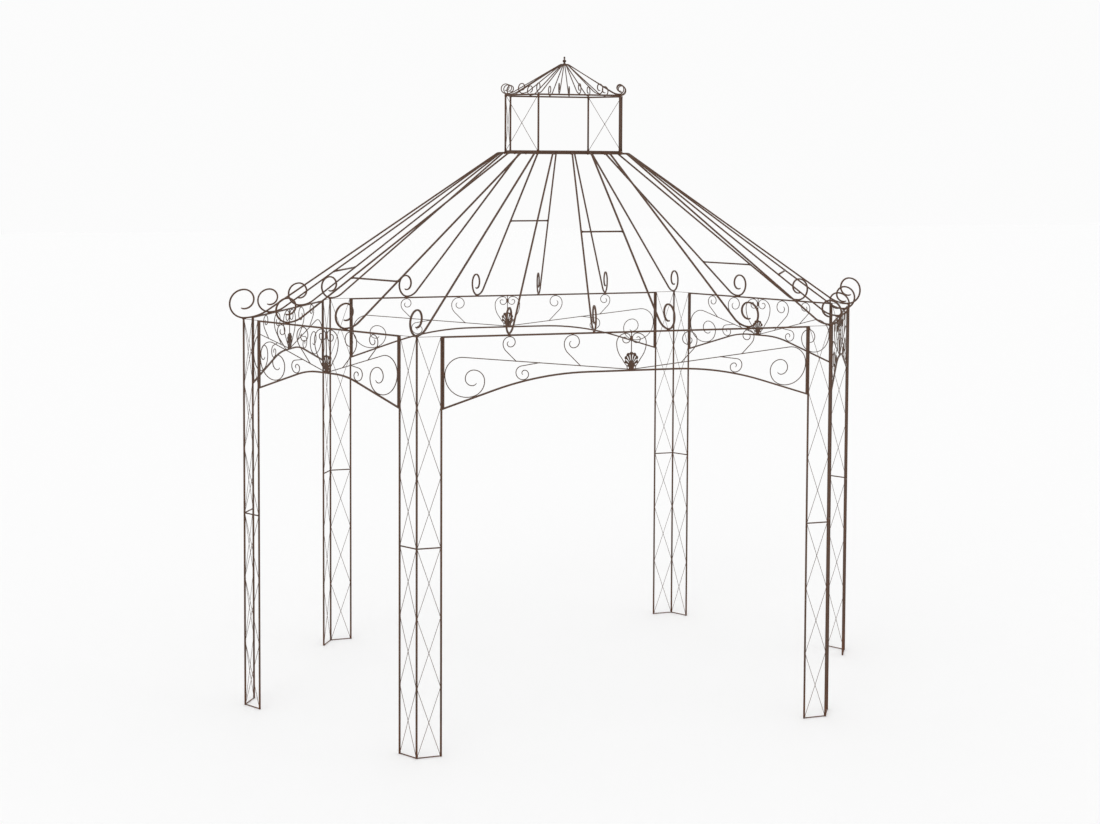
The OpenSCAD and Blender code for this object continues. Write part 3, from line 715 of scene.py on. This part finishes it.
def buildScrolls(panel, p):
    # five wires on both sides of the middle, with a bead wherever one touches another or the frame
    main, line = mainScroll(panel, p)
    spots = p["risingLong"] if isLong(panel.k) else p["risingShort"]
    wires = [main] + [risingCurl(u, line, p) for u in np.array(spots) * panel.half]
    wires += [hangingCurl(panel, line, p), halfHeart(panel, line[0], p)]
    contacts = np.array([spot for wire in wires for spot in wire[2]], float)
    parts = []
    for hand in (-1, 1):
        for n, (flat, taper, _) in enumerate(wires):
            thinner = plan["shave"] if n else 0  # beside the main wire, so that no faces coincide
            section = squareBar(plan["scrollWire"] - thinner, p["round"])
            parts.append(sweep(panel.place(flat, hand), panel.side, section, [p["dome"]] * 2, taper))
        parts.append(weldBeads(panel.place(contacts, hand), p["bead"]))
    lobe = (scrollTop - panel.crown) * p["heartTip"][0]
    parts.append(heartCollar(panel, lobe, p["collar"]))
    makePiece("scrolls_" + sideNames[panel.k], "wires", parts, scrollIron)


for panel in panels:
    buildScrolls(panel, scrollForm)
print("scrollwork done")

# shells: seven domed petals side by side, a knob and a flared foot
shellForm = {"thick": 0.0024, "edge": 0.0016, "rim": 0.0024, "rows": 36, "columns": 13, "lobeRows": 7,
             "lobeColumns": 44, "ballRows": 11, "ballColumns": 24, "waist": 0.2, "widening": 0.76,
             "start": 0.003, "tip": 1e-5, "hair": 0.0002, "thinning": 0.003, "fullWidth": 0.006,
             "wearFrom": 0.75, "footRows": 14, "footThin": 0.45, "footBeadUp": 0.0006, "barStart": 0.66,
             # balls: place, radius, half depth
             "balls": ((0, 0.2, 0.0025), (0.2, 0.075, 0.0023), (-0.2, 0.075, 0.0023)),
             "footHeights": (0, 0.03, 0.08, 0.14, 0.22), "footHalves": (0.2, 0.188, 0.16, 0.168, 0.185),
             "footDepth": 0.0049, "footRound": 0.0010, "footBeads": 0.17, "barRound": 0.0014,
             "topBead": (0.0046, 0.0036, 0.0026), "footBead": (0.0034, 0.0030, 0.0026)}


def slotSizes(length):
    # half width, start and end of a slot in a fan of this length, and half the angle between petals
    return (shellPlan["slotHalf"], length * shellPlan["slotFrom"], length * shellPlan["slotTo"],
            np.radians(shellPlan["spread"] / (shellPlan["petals"] - 1)))


def slotTaper(share):
    # share of a slot's width: opens in a straight line from its narrow start to the whole
    return shellPlan["slotOpens"] + (1 - shellPlan["slotOpens"]) * share


def slotEdge(length):
    # near edge of a slot, seen from a petal half a step away: a taper and then a round end, its points
    # turned from the slot's own axis to the petal's
    wide, first, last, turn = slotSizes(length)
    taper = np.linspace(0, 1, 9)
    end = np.linspace(0, np.pi / 2 - turn, 9)[1:]
    reach = np.r_[first + (last - first) * taper, last + wide * np.sin(end)]
    half = np.r_[wide * slotTaper(taper), wide * np.cos(end)]
    return reach * np.cos(turn) + half * np.sin(turn), reach * np.sin(turn) - half * np.cos(turn)


def insideSlot(q, u, length):
    # whether a point of the petal's plane lies in the slot half a step away on the side of positive u
    wide, first, last, turn = slotSizes(length)
    reach, off = q * np.cos(turn) + u * np.sin(turn), np.abs(u * np.cos(turn) - q * np.sin(turn))
    taper = wide * slotTaper(np.clip((reach - first) / (last - first), 0, 1))
    return ((reach >= first) & (reach <= last) & (off < taper)) | ((reach - last) ** 2 + off ** 2 < wide ** 2)


def petalSizes(n):
    # angle from the upright, length, and the lengths that rule the slots to its left and right
    count = shellPlan["petals"]
    step = 2 * shellPlan["spread"] / (count - 1)
    angle = step * n - shellPlan["spread"]
    slots = {hand: petalLength(angle + hand * step / 2) for hand in (-1, 1) if 0 <= n + hand < count}
    return angle, petalLength(angle), slots


def petalGrid(n, p):
    # half width at distance q from the fan's centre: a blade that widens to nearly the lobe's radius,
    # then the lobe's circle, cut back to the slot's edge beside a slot. Thickness: an ellipse across
    # the petal, thickest near the rim, so that a valley stays between neighbours
    angle, length, slots = petalSizes(n)
    lobe = shellPlan["lobe"]
    reach = length - lobe
    edges = {hand: slotEdge(slot) for hand, slot in slots.items()}
    spacing = 0.5 - 0.5 * np.cos(np.linspace(0, np.pi, p["rows"]))
    rows = [p["start"] + (length - p["start"] - p["tip"]) * spacing]
    for edgeQ, edgeU in edges.values():
        rows.append(np.r_[edgeQ[0] - p["hair"], edgeQ, edgeQ[-1] + p["hair"] / 2])
    q = np.unique(np.round(np.concatenate(rows), 6))
    q = q[q <= length - p["tip"]]
    blade = np.where(q < reach, lobe * (p["waist"] + p["widening"] * q / reach), 0)
    circle = np.sqrt(np.clip(lobe ** 2 - (q - reach) ** 2, 1e-10, None))
    full = np.maximum(blade, circle * (q > reach - lobe * 0.3))
    wide = {-1: full, 1: full}
    for hand, (edgeQ, edgeU) in edges.items():
        beside = (q >= edgeQ[0] - 1e-7) & (q <= edgeQ[-1] + 1e-7)
        wide[hand] = np.where(beside, np.minimum(full, np.interp(q, edgeQ, edgeU)), full)
    thick = p["edge"] + (p["thick"] - p["edge"]) * np.clip(full / p["fullWidth"], 0, 1)
    spin = np.arange(2 * p["columns"]) * np.pi / p["columns"]
    across = np.cos(spin)
    u = np.where(across > 0, wide[1][:, None], wide[-1][:, None]) * across
    v = thick[:, None] * np.sin(spin)
    v = v * np.minimum(1, np.sqrt(np.clip((length - q) / p["thinning"], 0.02, 1)))[:, None]
    return u, v, q, angle, length


def lobeGrid(n, p):
    # domed end of a petal: point = lobe's centre + radius * share * (cos, sin), the radius drawn in
    # where a slot lies in the way; thickness falls off as an ellipse's, to the power 0.5 of 1 - share squared
    angle, length, slots = petalSizes(n)
    lobe = shellPlan["lobe"]
    spin = np.arange(p["lobeColumns"]) * 2 * np.pi / p["lobeColumns"]
    probe = np.linspace(0, lobe, 241)
    q, u = length - lobe + probe * np.cos(spin)[:, None], probe * np.sin(spin)[:, None]
    blocked = np.zeros(q.shape, bool)
    for hand, slot in slots.items():
        blocked |= insideSlot(q, hand * u, slot)
    radius = np.where(blocked.any(1), probe[np.argmax(blocked, 1)], lobe)
    share = np.sin(np.linspace(0, np.pi / 2, p["lobeRows"] + 1))[1:]
    half = p["rim"] * (1 - share ** 2 * 0.999) ** 0.5
    share = np.r_[share, share[-2::-1]]  # out over the front, back over the rear
    half = np.r_[half, -half[-2::-1]]
    q = length - lobe + share[:, None] * radius * np.cos(spin)
    return q, share[:, None] * radius * np.sin(spin), np.repeat(half[:, None], len(spin), 1), length - lobe


def raised(panel, flat, thick):
    # points of the panel's plane moved out of it by their half thickness
    return panel.place(flat.reshape(-1, 2)) + panel.side * thick.reshape(-1, 1)


def petalForms(panel, n, p):
    # blade and lobe of one petal: point = the fan's centre + q * axis + u * cross, moved out by v
    u, v, q, angle, length = petalGrid(n, p)
    rows, columns = u.shape
    axis, cross, centre = turned(90 - angle), turned(-angle), [0, panel.fan]
    grid = raised(panel, q[:, None, None] * axis + u[..., None] * cross + centre, v)
    ends = panel.place(np.array([axis * (q[0] - p["hair"]), axis * (q[-1] + p["tip"])]) + centre)
    edge = np.clip((q / length - p["wearFrom"]) / (1 - p["wearFrom"]), 0, 1)
    blade = closedForm(grid, ends, rows, columns, np.r_[np.repeat(edge, columns), 0, 1], turnOver=True)
    q, u, v, middle = lobeGrid(n, p)
    rows, columns = q.shape
    grid = raised(panel, q[..., None] * axis + u[..., None] * cross + centre, v)
    pole = panel.place((axis * middle + centre)[None])
    ends = np.vstack([pole + panel.side * p["rim"], pole - panel.side * p["rim"]])
    edge = 1 - np.abs(np.linspace(-1, 1, rows))
    return [blade, closedForm(grid, ends, rows, columns, np.r_[np.repeat(edge, columns), 0, 0])]


def flatBall(panel, centre, radii, rows, columns):
    # ellipsoid: across, out and up radii times the unit ball
    tilt = np.pi * (np.arange(rows) + 1) / (rows + 1)
    spin = np.arange(columns) * 2 * np.pi / columns
    flat = np.stack([radii[0] * np.sin(tilt)[:, None] * np.cos(spin),
                     np.repeat(-radii[2] * np.cos(tilt)[:, None], columns, 1)], -1)
    grid = raised(panel, flat + centre, radii[1] * np.sin(tilt)[:, None] * np.sin(spin))
    ends = panel.place(np.array([[0, -radii[2]], [0, radii[2]]]) + centre)
    return closedForm(grid, ends, rows, columns, wear=0.2, turnOver=True)


def shellFoot(panel, p):
    # a section lofted up a waisted outline and thinned towards the top, so that it runs into the knob
    outline = [np.array(p["footHalves"]) * shellPlan["width"],
               np.array(p["footHeights"]) * shellPlan["height"] + panel.shellBase]
    loft = smoothLine(np.column_stack(outline), p["footRows"])
    section = roundedSection(2, p["footDepth"], p["footRound"])[0]
    rows, columns = len(loft), len(section)
    thin = np.linspace(1, p["footThin"], rows) ** 1.2
    flat = np.stack([loft[:, :1] * np.clip(section[:, 0], -1, 1), np.repeat(loft[:, 1:], columns, 1)], -1)
    ends = panel.place([[0, loft[0, 1]], [0, loft[-1, 1]]])
    grid = raised(panel, flat, thin[:, None] * section[:, 1])
    return closedForm(grid, ends, rows, columns, wear=0.3, weld=0.2, turnOver=True)


def buildShell(panel, p):
    # petals, knob and bosses, foot, and a bar up to the frame's underside with beads at its two ends
    w = shellPlan["width"]
    parts = [form for n in range(shellPlan["petals"]) for form in petalForms(panel, n, p)]
    for u, radius, out in p["balls"]:
        radii = (radius * w, out, radius * w)
        parts.append(flatBall(panel, (u * w, panel.fan), radii, p["ballRows"], p["ballColumns"]))
    parts.append(shellFoot(panel, p))
    under = eaveZ - barOff
    middle = panel.place([[0, panel.fan + shellPlan["height"] * p["barStart"]], [0, under - plan["seat"]]])
    parts.append(sweep(middle, panel.side, squareBar(plan["scrollWire"], p["barRound"]), (0.5, 0.1)))
    parts.append(weldBeads(panel.place([[0, under]]), p["topBead"]))
    beside = [[hand * w * p["footBeads"], panel.shellBase + p["footBeadUp"]] for hand in (1, -1)]
    parts.append(weldBeads(panel.place(beside), p["footBead"]))
    makePiece("shell_" + sideNames[panel.k], "cast", parts, castIron)


for panel in panels:
    buildShell(panel, shellForm)
print("shells done")

# roof: curled rafters from the ring to the eave, tie bars between them
curlPlan = {"shares": (1, 0.68, 0.4), "turns": (180, 180, 30), "ends": (0.1, 0.7)}
roofForm = {"bar": 0.010, "round": 0.0018, "ringEnd": 0.034, "ringBend": 0.030, "eaveBend": 0.150,
            "endBend": 0.250, "curl": 0.071, "endCurl": 0.085, "curlBack": 0.003, "sunk": 0.0012,
            "longFeet": (0.21, 0.41, 0.59, 0.79), "longHeads": (0.2, 0.4, 0.6, 0.8),
            "shortFeet": (0.27, 0.61), "shortHeads": (0.32, 0.65), "tip": 0.02,
            "bead": (0.0062, 0.0062, 0.0048), "headSeams": (0.003, -0.003), "footSeams": (-0.006, 0.008),
            "seamUp": 0.0008}
tieForm = {"bar": 0.010, "round": 0.0018, "sunk": 0.42, "beadOut": 0.56, "seams": (-0.004, 0.004),
           "bead": (0.0045, 0.0045, 0.0036)}
lanternForm = {"side": 0.524, "ringBar": 0.010, "ringRound": 0.0018, "ringBead": (0.0022, 0.0022, 0.0046),
               "ringBeadOut": 0.92, "post": 0.012, "wire": 0.003, "bow": 0.0014,
               "endBead": (0.0028, 0.0028, 0.0024), "endBeadUp": 0.0016, "endBeadTurn": 20,
               "cornerBead": (0.0034, 0.0034, 0.0042), "cornerBeadIn": (0.0036, 0.0044),
               "crossBead": (0.0026, 0.0026, 0.0034)}
ringOff = lanternForm["ringBar"] / 2
lantern = hexagon(high("lantern_posts", 0) - lanternForm["post"] / 2, lanternForm["side"] / 2,
                  high("roof_ring", 1) - ringOff)
ringNodes = ("roof_ring", "lantern_base_ring", "lantern_top_ring")
roofRingZ, baseRingZ, topRingZ = (high(node, 2) - ringOff for node in ringNodes)
tieForm["heights"] = [high("tie_bars", 2) - tieForm["bar"] / 2, low("tie_bars", 2) + tieForm["bar"] / 2]


def fallOf(run, drop, bends):
    # slope angle and straight length of the common tangent of two bends, run across and drop down
    straight = np.sqrt(run ** 2 + (drop - bends) ** 2 - bends ** 2)
    return np.degrees(np.arctan2(drop - bends, run) + np.arctan2(bends, straight)), straight


def curledSteps(run, drop, first, second, flat, curl):
    # level start, bend down, straight fall, bend back to level, and a curl of ever smaller half turns
    angle, straight = fallOf(run - flat, drop, first + second)
    steps = [(0, flat), (first, -angle), (0, straight), (second, angle)]
    return steps + shareArcs(curl, curlPlan["shares"], curlPlan["turns"]), angle


def curledBar(plane, flat, p):
    # square bar along a line of the plane, its free end drawn down and rounded
    section = squareBar(p["bar"] - plan["shave"], p["round"])
    return sweep(plane.place(flat), plane.side, section, curlPlan["ends"], (0, p["tip"]))


def cornerOut(points, k):
    # mitre vector of corner k: moves it out so that both sides move out by one
    a, b = (Upright(points[k], sideWay(points, n)).side[:2] for n in (k, k - 1))
    return (a + b) / (1 + a @ b)


class Rafter(Upright):
    # rafter n of side k, or with n below 0 the one of corner k, in its plane from the roof ring outwards
    def __init__(self, k, n, p):
        endFirst = k % 3 == 2
        feet, heads = (p["longFeet"], p["longHeads"]) if isLong(k) else (p["shortFeet"], p["shortHeads"])
        if not isLong(k) and not endFirst:
            feet, heads = [1 - v for v in feet[::-1]], [1 - v for v in heads[::-1]]
        head = along(lantern, k, 0 if n < 0 else heads[n])
        reach = along(eave, k, 0 if n < 0 else feet[n]) - head
        super().__init__(head, unit(reach))
        if n < 0:
            clear = cornerOut(lantern, k) @ self.way * ringOff + plan["seat"]
        else:
            ring = Upright(head, sideWay(lantern, k))
            clear = ringOff + plan["seat"] + p["bar"] / 2 * abs(self.way @ ring.way)
            clear = clear / abs(self.way @ ring.side[:2])
        atEnd = n < 0 and endFirst
        self.clear = clear
        self.run = np.linalg.norm(reach) - p["curlBack"] - clear
        drop = roofRingZ - plan["postHeight"] - plan["seat"] - p["bar"] / 2
        bend, curl = (p["endBend"], p["endCurl"]) if atEnd else (p["eaveBend"], p["curl"])
        steps, self.angle = curledSteps(self.run, drop, p["ringBend"], bend, p["ringEnd"], curl)
        self.flat = np.vstack([[clear - p["sunk"], roofRingZ], tracePath((clear, roofRingZ), 0, steps)])

    def at(self, z, p):
        # plan point where the straight slope passes height z
        fall = np.radians(self.angle)
        start = self.clear + p["ringEnd"] + p["ringBend"] * np.sin(fall)
        startZ = roofRingZ - p["ringBend"] * (1 - np.cos(fall))
        return self.origin + self.way * (start + (startZ - z) / np.tan(fall))

    def build(self, p):
        # the bar, with beads at the ring and where it rests on the eave
        spots = [[self.clear, roofRingZ + lift] for lift in p["headSeams"]]
        spots += [[self.clear + self.run + out, plan["postHeight"] + p["seamUp"]] for out in p["footSeams"]]
        return [curledBar(self, self.flat, p), weldBeads(self.place(spots), p["bead"])]


def buildRafters(p):
    # four rafters on a long side and two on a short one, and one for each corner
    for k in range(6):
        group = [Rafter(k, n, p) for n in range(4 if isLong(k) else 2)]
        parts = [part for rafter in group for part in rafter.build(p)]
        makePiece("rafters_" + sideNames[k], "bars", parts, barIron)
        first = 1 if isLong(k) else 0
        tiedPairs.append((group[first], group[first + 1], tieForm["heights"][0 if isLong(k) else 1]))
    parts = [part for k in range(6) for part in Rafter(k, -1, p).build(p)]
    makePiece("corner_rafters", "bars", parts, barIron)


def buildTies(p, roof):
    # a level bar between the middle two rafters of each side, sunk a little into both
    parts, beads = [], []
    section = squareBar(p["bar"] - plan["shave"], p["round"])
    for left, right, z in tiedPairs:
        a, b = left.at(z, roof), right.at(z, roof)
        way = unit(b - a)
        sunk = way * roof["bar"] * p["sunk"]
        parts.append(sweep([[*(a + sunk), z], [*(b - sunk), z]], up, section))
        for spot, out in ((a, way), (b, -way)):
            beads += [[*(spot + out * roof["bar"] * p["beadOut"]), z + lift] for lift in p["seams"]]
    parts.append(weldBeads(beads, p["bead"]))
    makePiece("tie_bars", "set", parts, barIron)


tiedPairs = []
buildRafters(roofForm)
buildTies(tieForm, roofForm)
print("roof done")


# lantern: three rings, six uprights, crossed wires in the short faces
def buildRing(node, z, p):
    # closed square bar round the six corners, with a bead outside each
    section = squareBar(p["ringBar"] - plan["shave"] / 2, p["ringRound"])
    parts = [sweep(np.column_stack([lantern, np.full(6, z)]), up, section, closed=True)]
    out = np.array([cornerOut(lantern, k) for k in range(6)]) * ringOff
    parts.append(weldBeads(np.column_stack([lantern + out * p["ringBeadOut"], np.full(6, z)]), p["ringBead"]))
    makePiece(node, "bar", parts, barIron)


def buildLantern(p):
    # uprights between the two upper rings, and one pair of crossed wires in each short face
    for node, z in zip(ringNodes, (roofRingZ, baseRingZ, topRingZ)):
        buildRing(node, z, p)
    bottom, top = baseRingZ + ringOff + plan["seat"], topRingZ - ringOff - plan["seat"]
    parts, wires, ends = [], [], []
    for k in range(6):
        spot = lantern[k]
        parts.append(roundPost(spot, bottom, top, p["post"]))
        around = spot + turned(np.arange(4) * 90 + p["endBeadTurn"]) * p["post"] * 0.5
        for z in (bottom + p["endBeadUp"], top - p["endBeadUp"]):
            ends.append(np.column_stack([around, np.full(4, z)]))
        if isLong(k):
            continue
        plane = Upright(spot, sideWay(lantern, k))
        inner = p["post"] / 2 + plan["seat"]
        outer = sideLength(lantern, k) - inner
        wires += crossedWires(plane, (inner, bottom), (outer, top), p)
        inU, inZ = p["cornerBeadIn"]
        corners = [[u, z] for u in (inner + inU, outer - inU) for z in (bottom + inZ, top - inZ)]
        wires.append(weldBeads(plane.place(corners), p["cornerBead"]))
        wires.append(weldBeads(plane.place([[(inner + outer) / 2, (bottom + top) / 2]]), p["crossBead"]))
    parts.append(weldBeads(np.concatenate(ends), p["endBead"]))
    makePiece("lantern_posts", "bars", parts, barIron)
    makePiece("lantern_lattice", "wires", wires, barIron)


buildLantern(lanternForm)
print("lantern done")

# cap: sixteen curled rods, the hub and the finial
capForm = {"bar": 0.006, "flat": 0.002, "firstBend": 0.008, "bend": 0.110, "curl": 0.030, "curlBack": 0.002,
           "sunk": 0.001, "round": 0.0016, "tip": 0.010, "longSpots": (0, 0.25, 0.5, 0.75),
           "shortSpots": (0, 0.5), "bead": (0.0036, 0.0036, 0.0030), "headSeams": (0.0022, -0.0022),
           "footSeam": 0.0004}
hubForm = {"rim": 0.003, "rimSteps": 6, "rings": (0.5, 0.6, 0.25), "columns": 56}
finialForm = {"foot": 0.18, "steps": 70, "columns": 40,  # outline: radius and height as shares of the height
              "outline": ((0.2, 0.02), (0.2, 0.05), (0.12, 0.12), (0.12, 0.18), (0.2, 0.25), (0.255, 0.36),
                          (0.235, 0.46), (0.16, 0.54), (0.082, 0.6), (0.08, 0.68), (0.12, 0.74),
                          (0.133, 0.82), (0.118, 0.91), (0.06, 0.982))}


def buildRods(p, hubZ, hubRadius, thick):
    # each rod runs from the hub's rim over the top ring to its curl, straight away from the middle
    seatZ, topZ = topRingZ + ringOff + plan["seat"] + p["bar"] / 2, hubZ - thick / 2
    start = hubRadius + plan["seat"]
    parts, beads = [], []
    for k in range(6):
        for share in (p["longSpots"] if isLong(k) else p["shortSpots"]):
            spot = along(lantern, k, share)
            plane = Upright(np.zeros(2), unit(spot))
            run = np.linalg.norm(spot) - p["curlBack"] - start
            steps, angle = curledSteps(run, topZ - seatZ, p["firstBend"], p["bend"], p["flat"], p["curl"])
            flat = np.vstack([[start - p["sunk"], topZ], tracePath((start, topZ), 0, steps)])
            parts.append(curledBar(plane, flat, p))
            beads += [[*(plane.way * start), topZ + lift] for lift in p["headSeams"]]
            beads.append([*spot, seatZ - p["bar"] / 2 + p["footSeam"]])
    parts.append(weldBeads(beads, p["bead"]))
    makePiece("cap_rods", "bars", parts, barIron)


def buildHub(p, hubZ, r, thick):
    # disc whose rim is rounded by two quarter circles
    rim, n = p["rim"], p["rimSteps"]
    arc = turned(np.linspace(-90, 90, 2 * n + 1)) * rim
    under, *over = [r * share for share in p["rings"]]
    lower = np.array([[r - rim, -thick + rim]]) + arc[:n + 1]
    upper = np.array([[r - rim, -rim]]) + arc[n:]
    outline = np.vstack([[0, -thick], [under, -thick], lower, [r, -thick / 2], upper,
                         [over[0], 0], [over[1], 0], [0, 0]])
    makePiece("cap_hub", "disc", [turnedForm(outline, np.array([0, 0, hubZ]), p["columns"])], barIron)


def buildFinial(p):
    # revolved smooth curve through the outline's points
    foot, h = low("finial", 2), high("finial", 2) - low("finial", 2)
    body = smoothLine(np.array(p["outline"]) * h, p["steps"])
    outline = np.vstack([[0, 0], [p["foot"] * h, 0], body, [0, h]])
    parts = [turnedForm(outline, np.array([0, 0, foot]), p["columns"])]
    makePiece("finial", "cast", parts, castIron)


hubSizes = high("cap_hub", 2), high("cap_hub", 0), high("cap_hub", 2) - low("cap_hub", 2)
buildRods(capForm, *hubSizes)
buildHub(hubForm, *hubSizes)
buildFinial(finialForm)
print("cap done:", len(pieceCount), "pieces,", sum(pieceCount), "triangles")

# studio: pale floor, soft light, and the view
studio = {"floor": (0.885, 0.885, 0.885), "half": 60, "under": 0.001, "world": 0.97, "spread": 35,
          "aim": (0, 0, 1.8), "tone": "Standard",  # the tone keeps thin wires dark against a pale ground
          "lamps": {"key": ((-6, -8, 9), 0.50), "fill": ((8, -6, 6), 0.16), "back": ((2, 9, 8), 0.12)}}
camera = {"place": (-3.54519, -11.390336, 3.416028), "yaw": 0.342332, "pitch": -0.057006, "roll": 0.007395,
          "lens": 61.767, "shiftX": -0.0818, "shiftY": -0.1473}


def buildStudio(p):
    # square floor just under the feet, even white surroundings and three wide suns
    mesh = bpy.data.meshes.new("floor")
    corners = [(x * p["half"], y * p["half"], -p["under"]) for x, y in ((-1, -1), (1, -1), (1, 1), (-1, 1))]
    mesh.from_pydata(corners, [], [(0, 1, 2, 3)])
    floor = bpy.data.objects.new("floor", mesh)
    bpy.context.scene.collection.objects.link(floor)
    paint = bpy.data.materials.new("floor_paint")
    paint.use_nodes = True
    shader = paint.node_tree.nodes["Principled BSDF"]
    shader.inputs["Base Color"].default_value = (*p["floor"], 1)
    shader.inputs["Roughness"].default_value = 0.9
    shader.inputs["Specular IOR Level"].default_value = 0.1
    mesh.materials.append(paint)
    world = bpy.data.worlds.new("studio")
    world.use_nodes = True
    white, strength = world.node_tree.nodes["Background"].inputs[:2]
    white.default_value, strength.default_value = (1, 1, 1, 1), p["world"]
    bpy.context.scene.world = world
    bpy.context.scene.view_settings.view_transform = p["tone"]
    for name, (place, power) in p["lamps"].items():
        data = bpy.data.lights.new(name, "SUN")
        data.energy, data.angle = power, np.radians(p["spread"])
        lamp = bpy.data.objects.new(name, data)
        lamp.location = place
        lamp.rotation_euler = (Vector(p["aim"]) - Vector(place)).to_track_quat("-Z", "Y").to_euler()
        bpy.context.scene.collection.objects.link(lamp)


def aimCamera(c):
    # looks along yaw and pitch; the small shift keeps the uprights nearly upright
    data = bpy.data.cameras.new("view")
    view = bpy.data.objects.new("view", data)
    bpy.context.scene.collection.objects.link(view)
    yaw, pitch, roll = c["yaw"], c["pitch"], c["roll"]
    ahead = Vector((np.sin(yaw) * np.cos(pitch), np.cos(yaw) * np.cos(pitch), np.sin(pitch)))
    right = Vector((np.cos(yaw), -np.sin(yaw), 0))
    above = right.cross(ahead)
    r = right * np.cos(roll) + above * np.sin(roll)
    u = -right * np.sin(roll) + above * np.cos(roll)
    turn = Matrix((r, u, -ahead)).transposed().to_4x4()
    turn.translation = Vector(c["place"])
    view.matrix_world = turn
    data.sensor_width, data.lens = 36.0, c["lens"]
    data.shift_x, data.shift_y = c["shiftX"], c["shiftY"]
    bpy.context.scene.camera = view


buildStudio(studio)
aimCamera(camera)
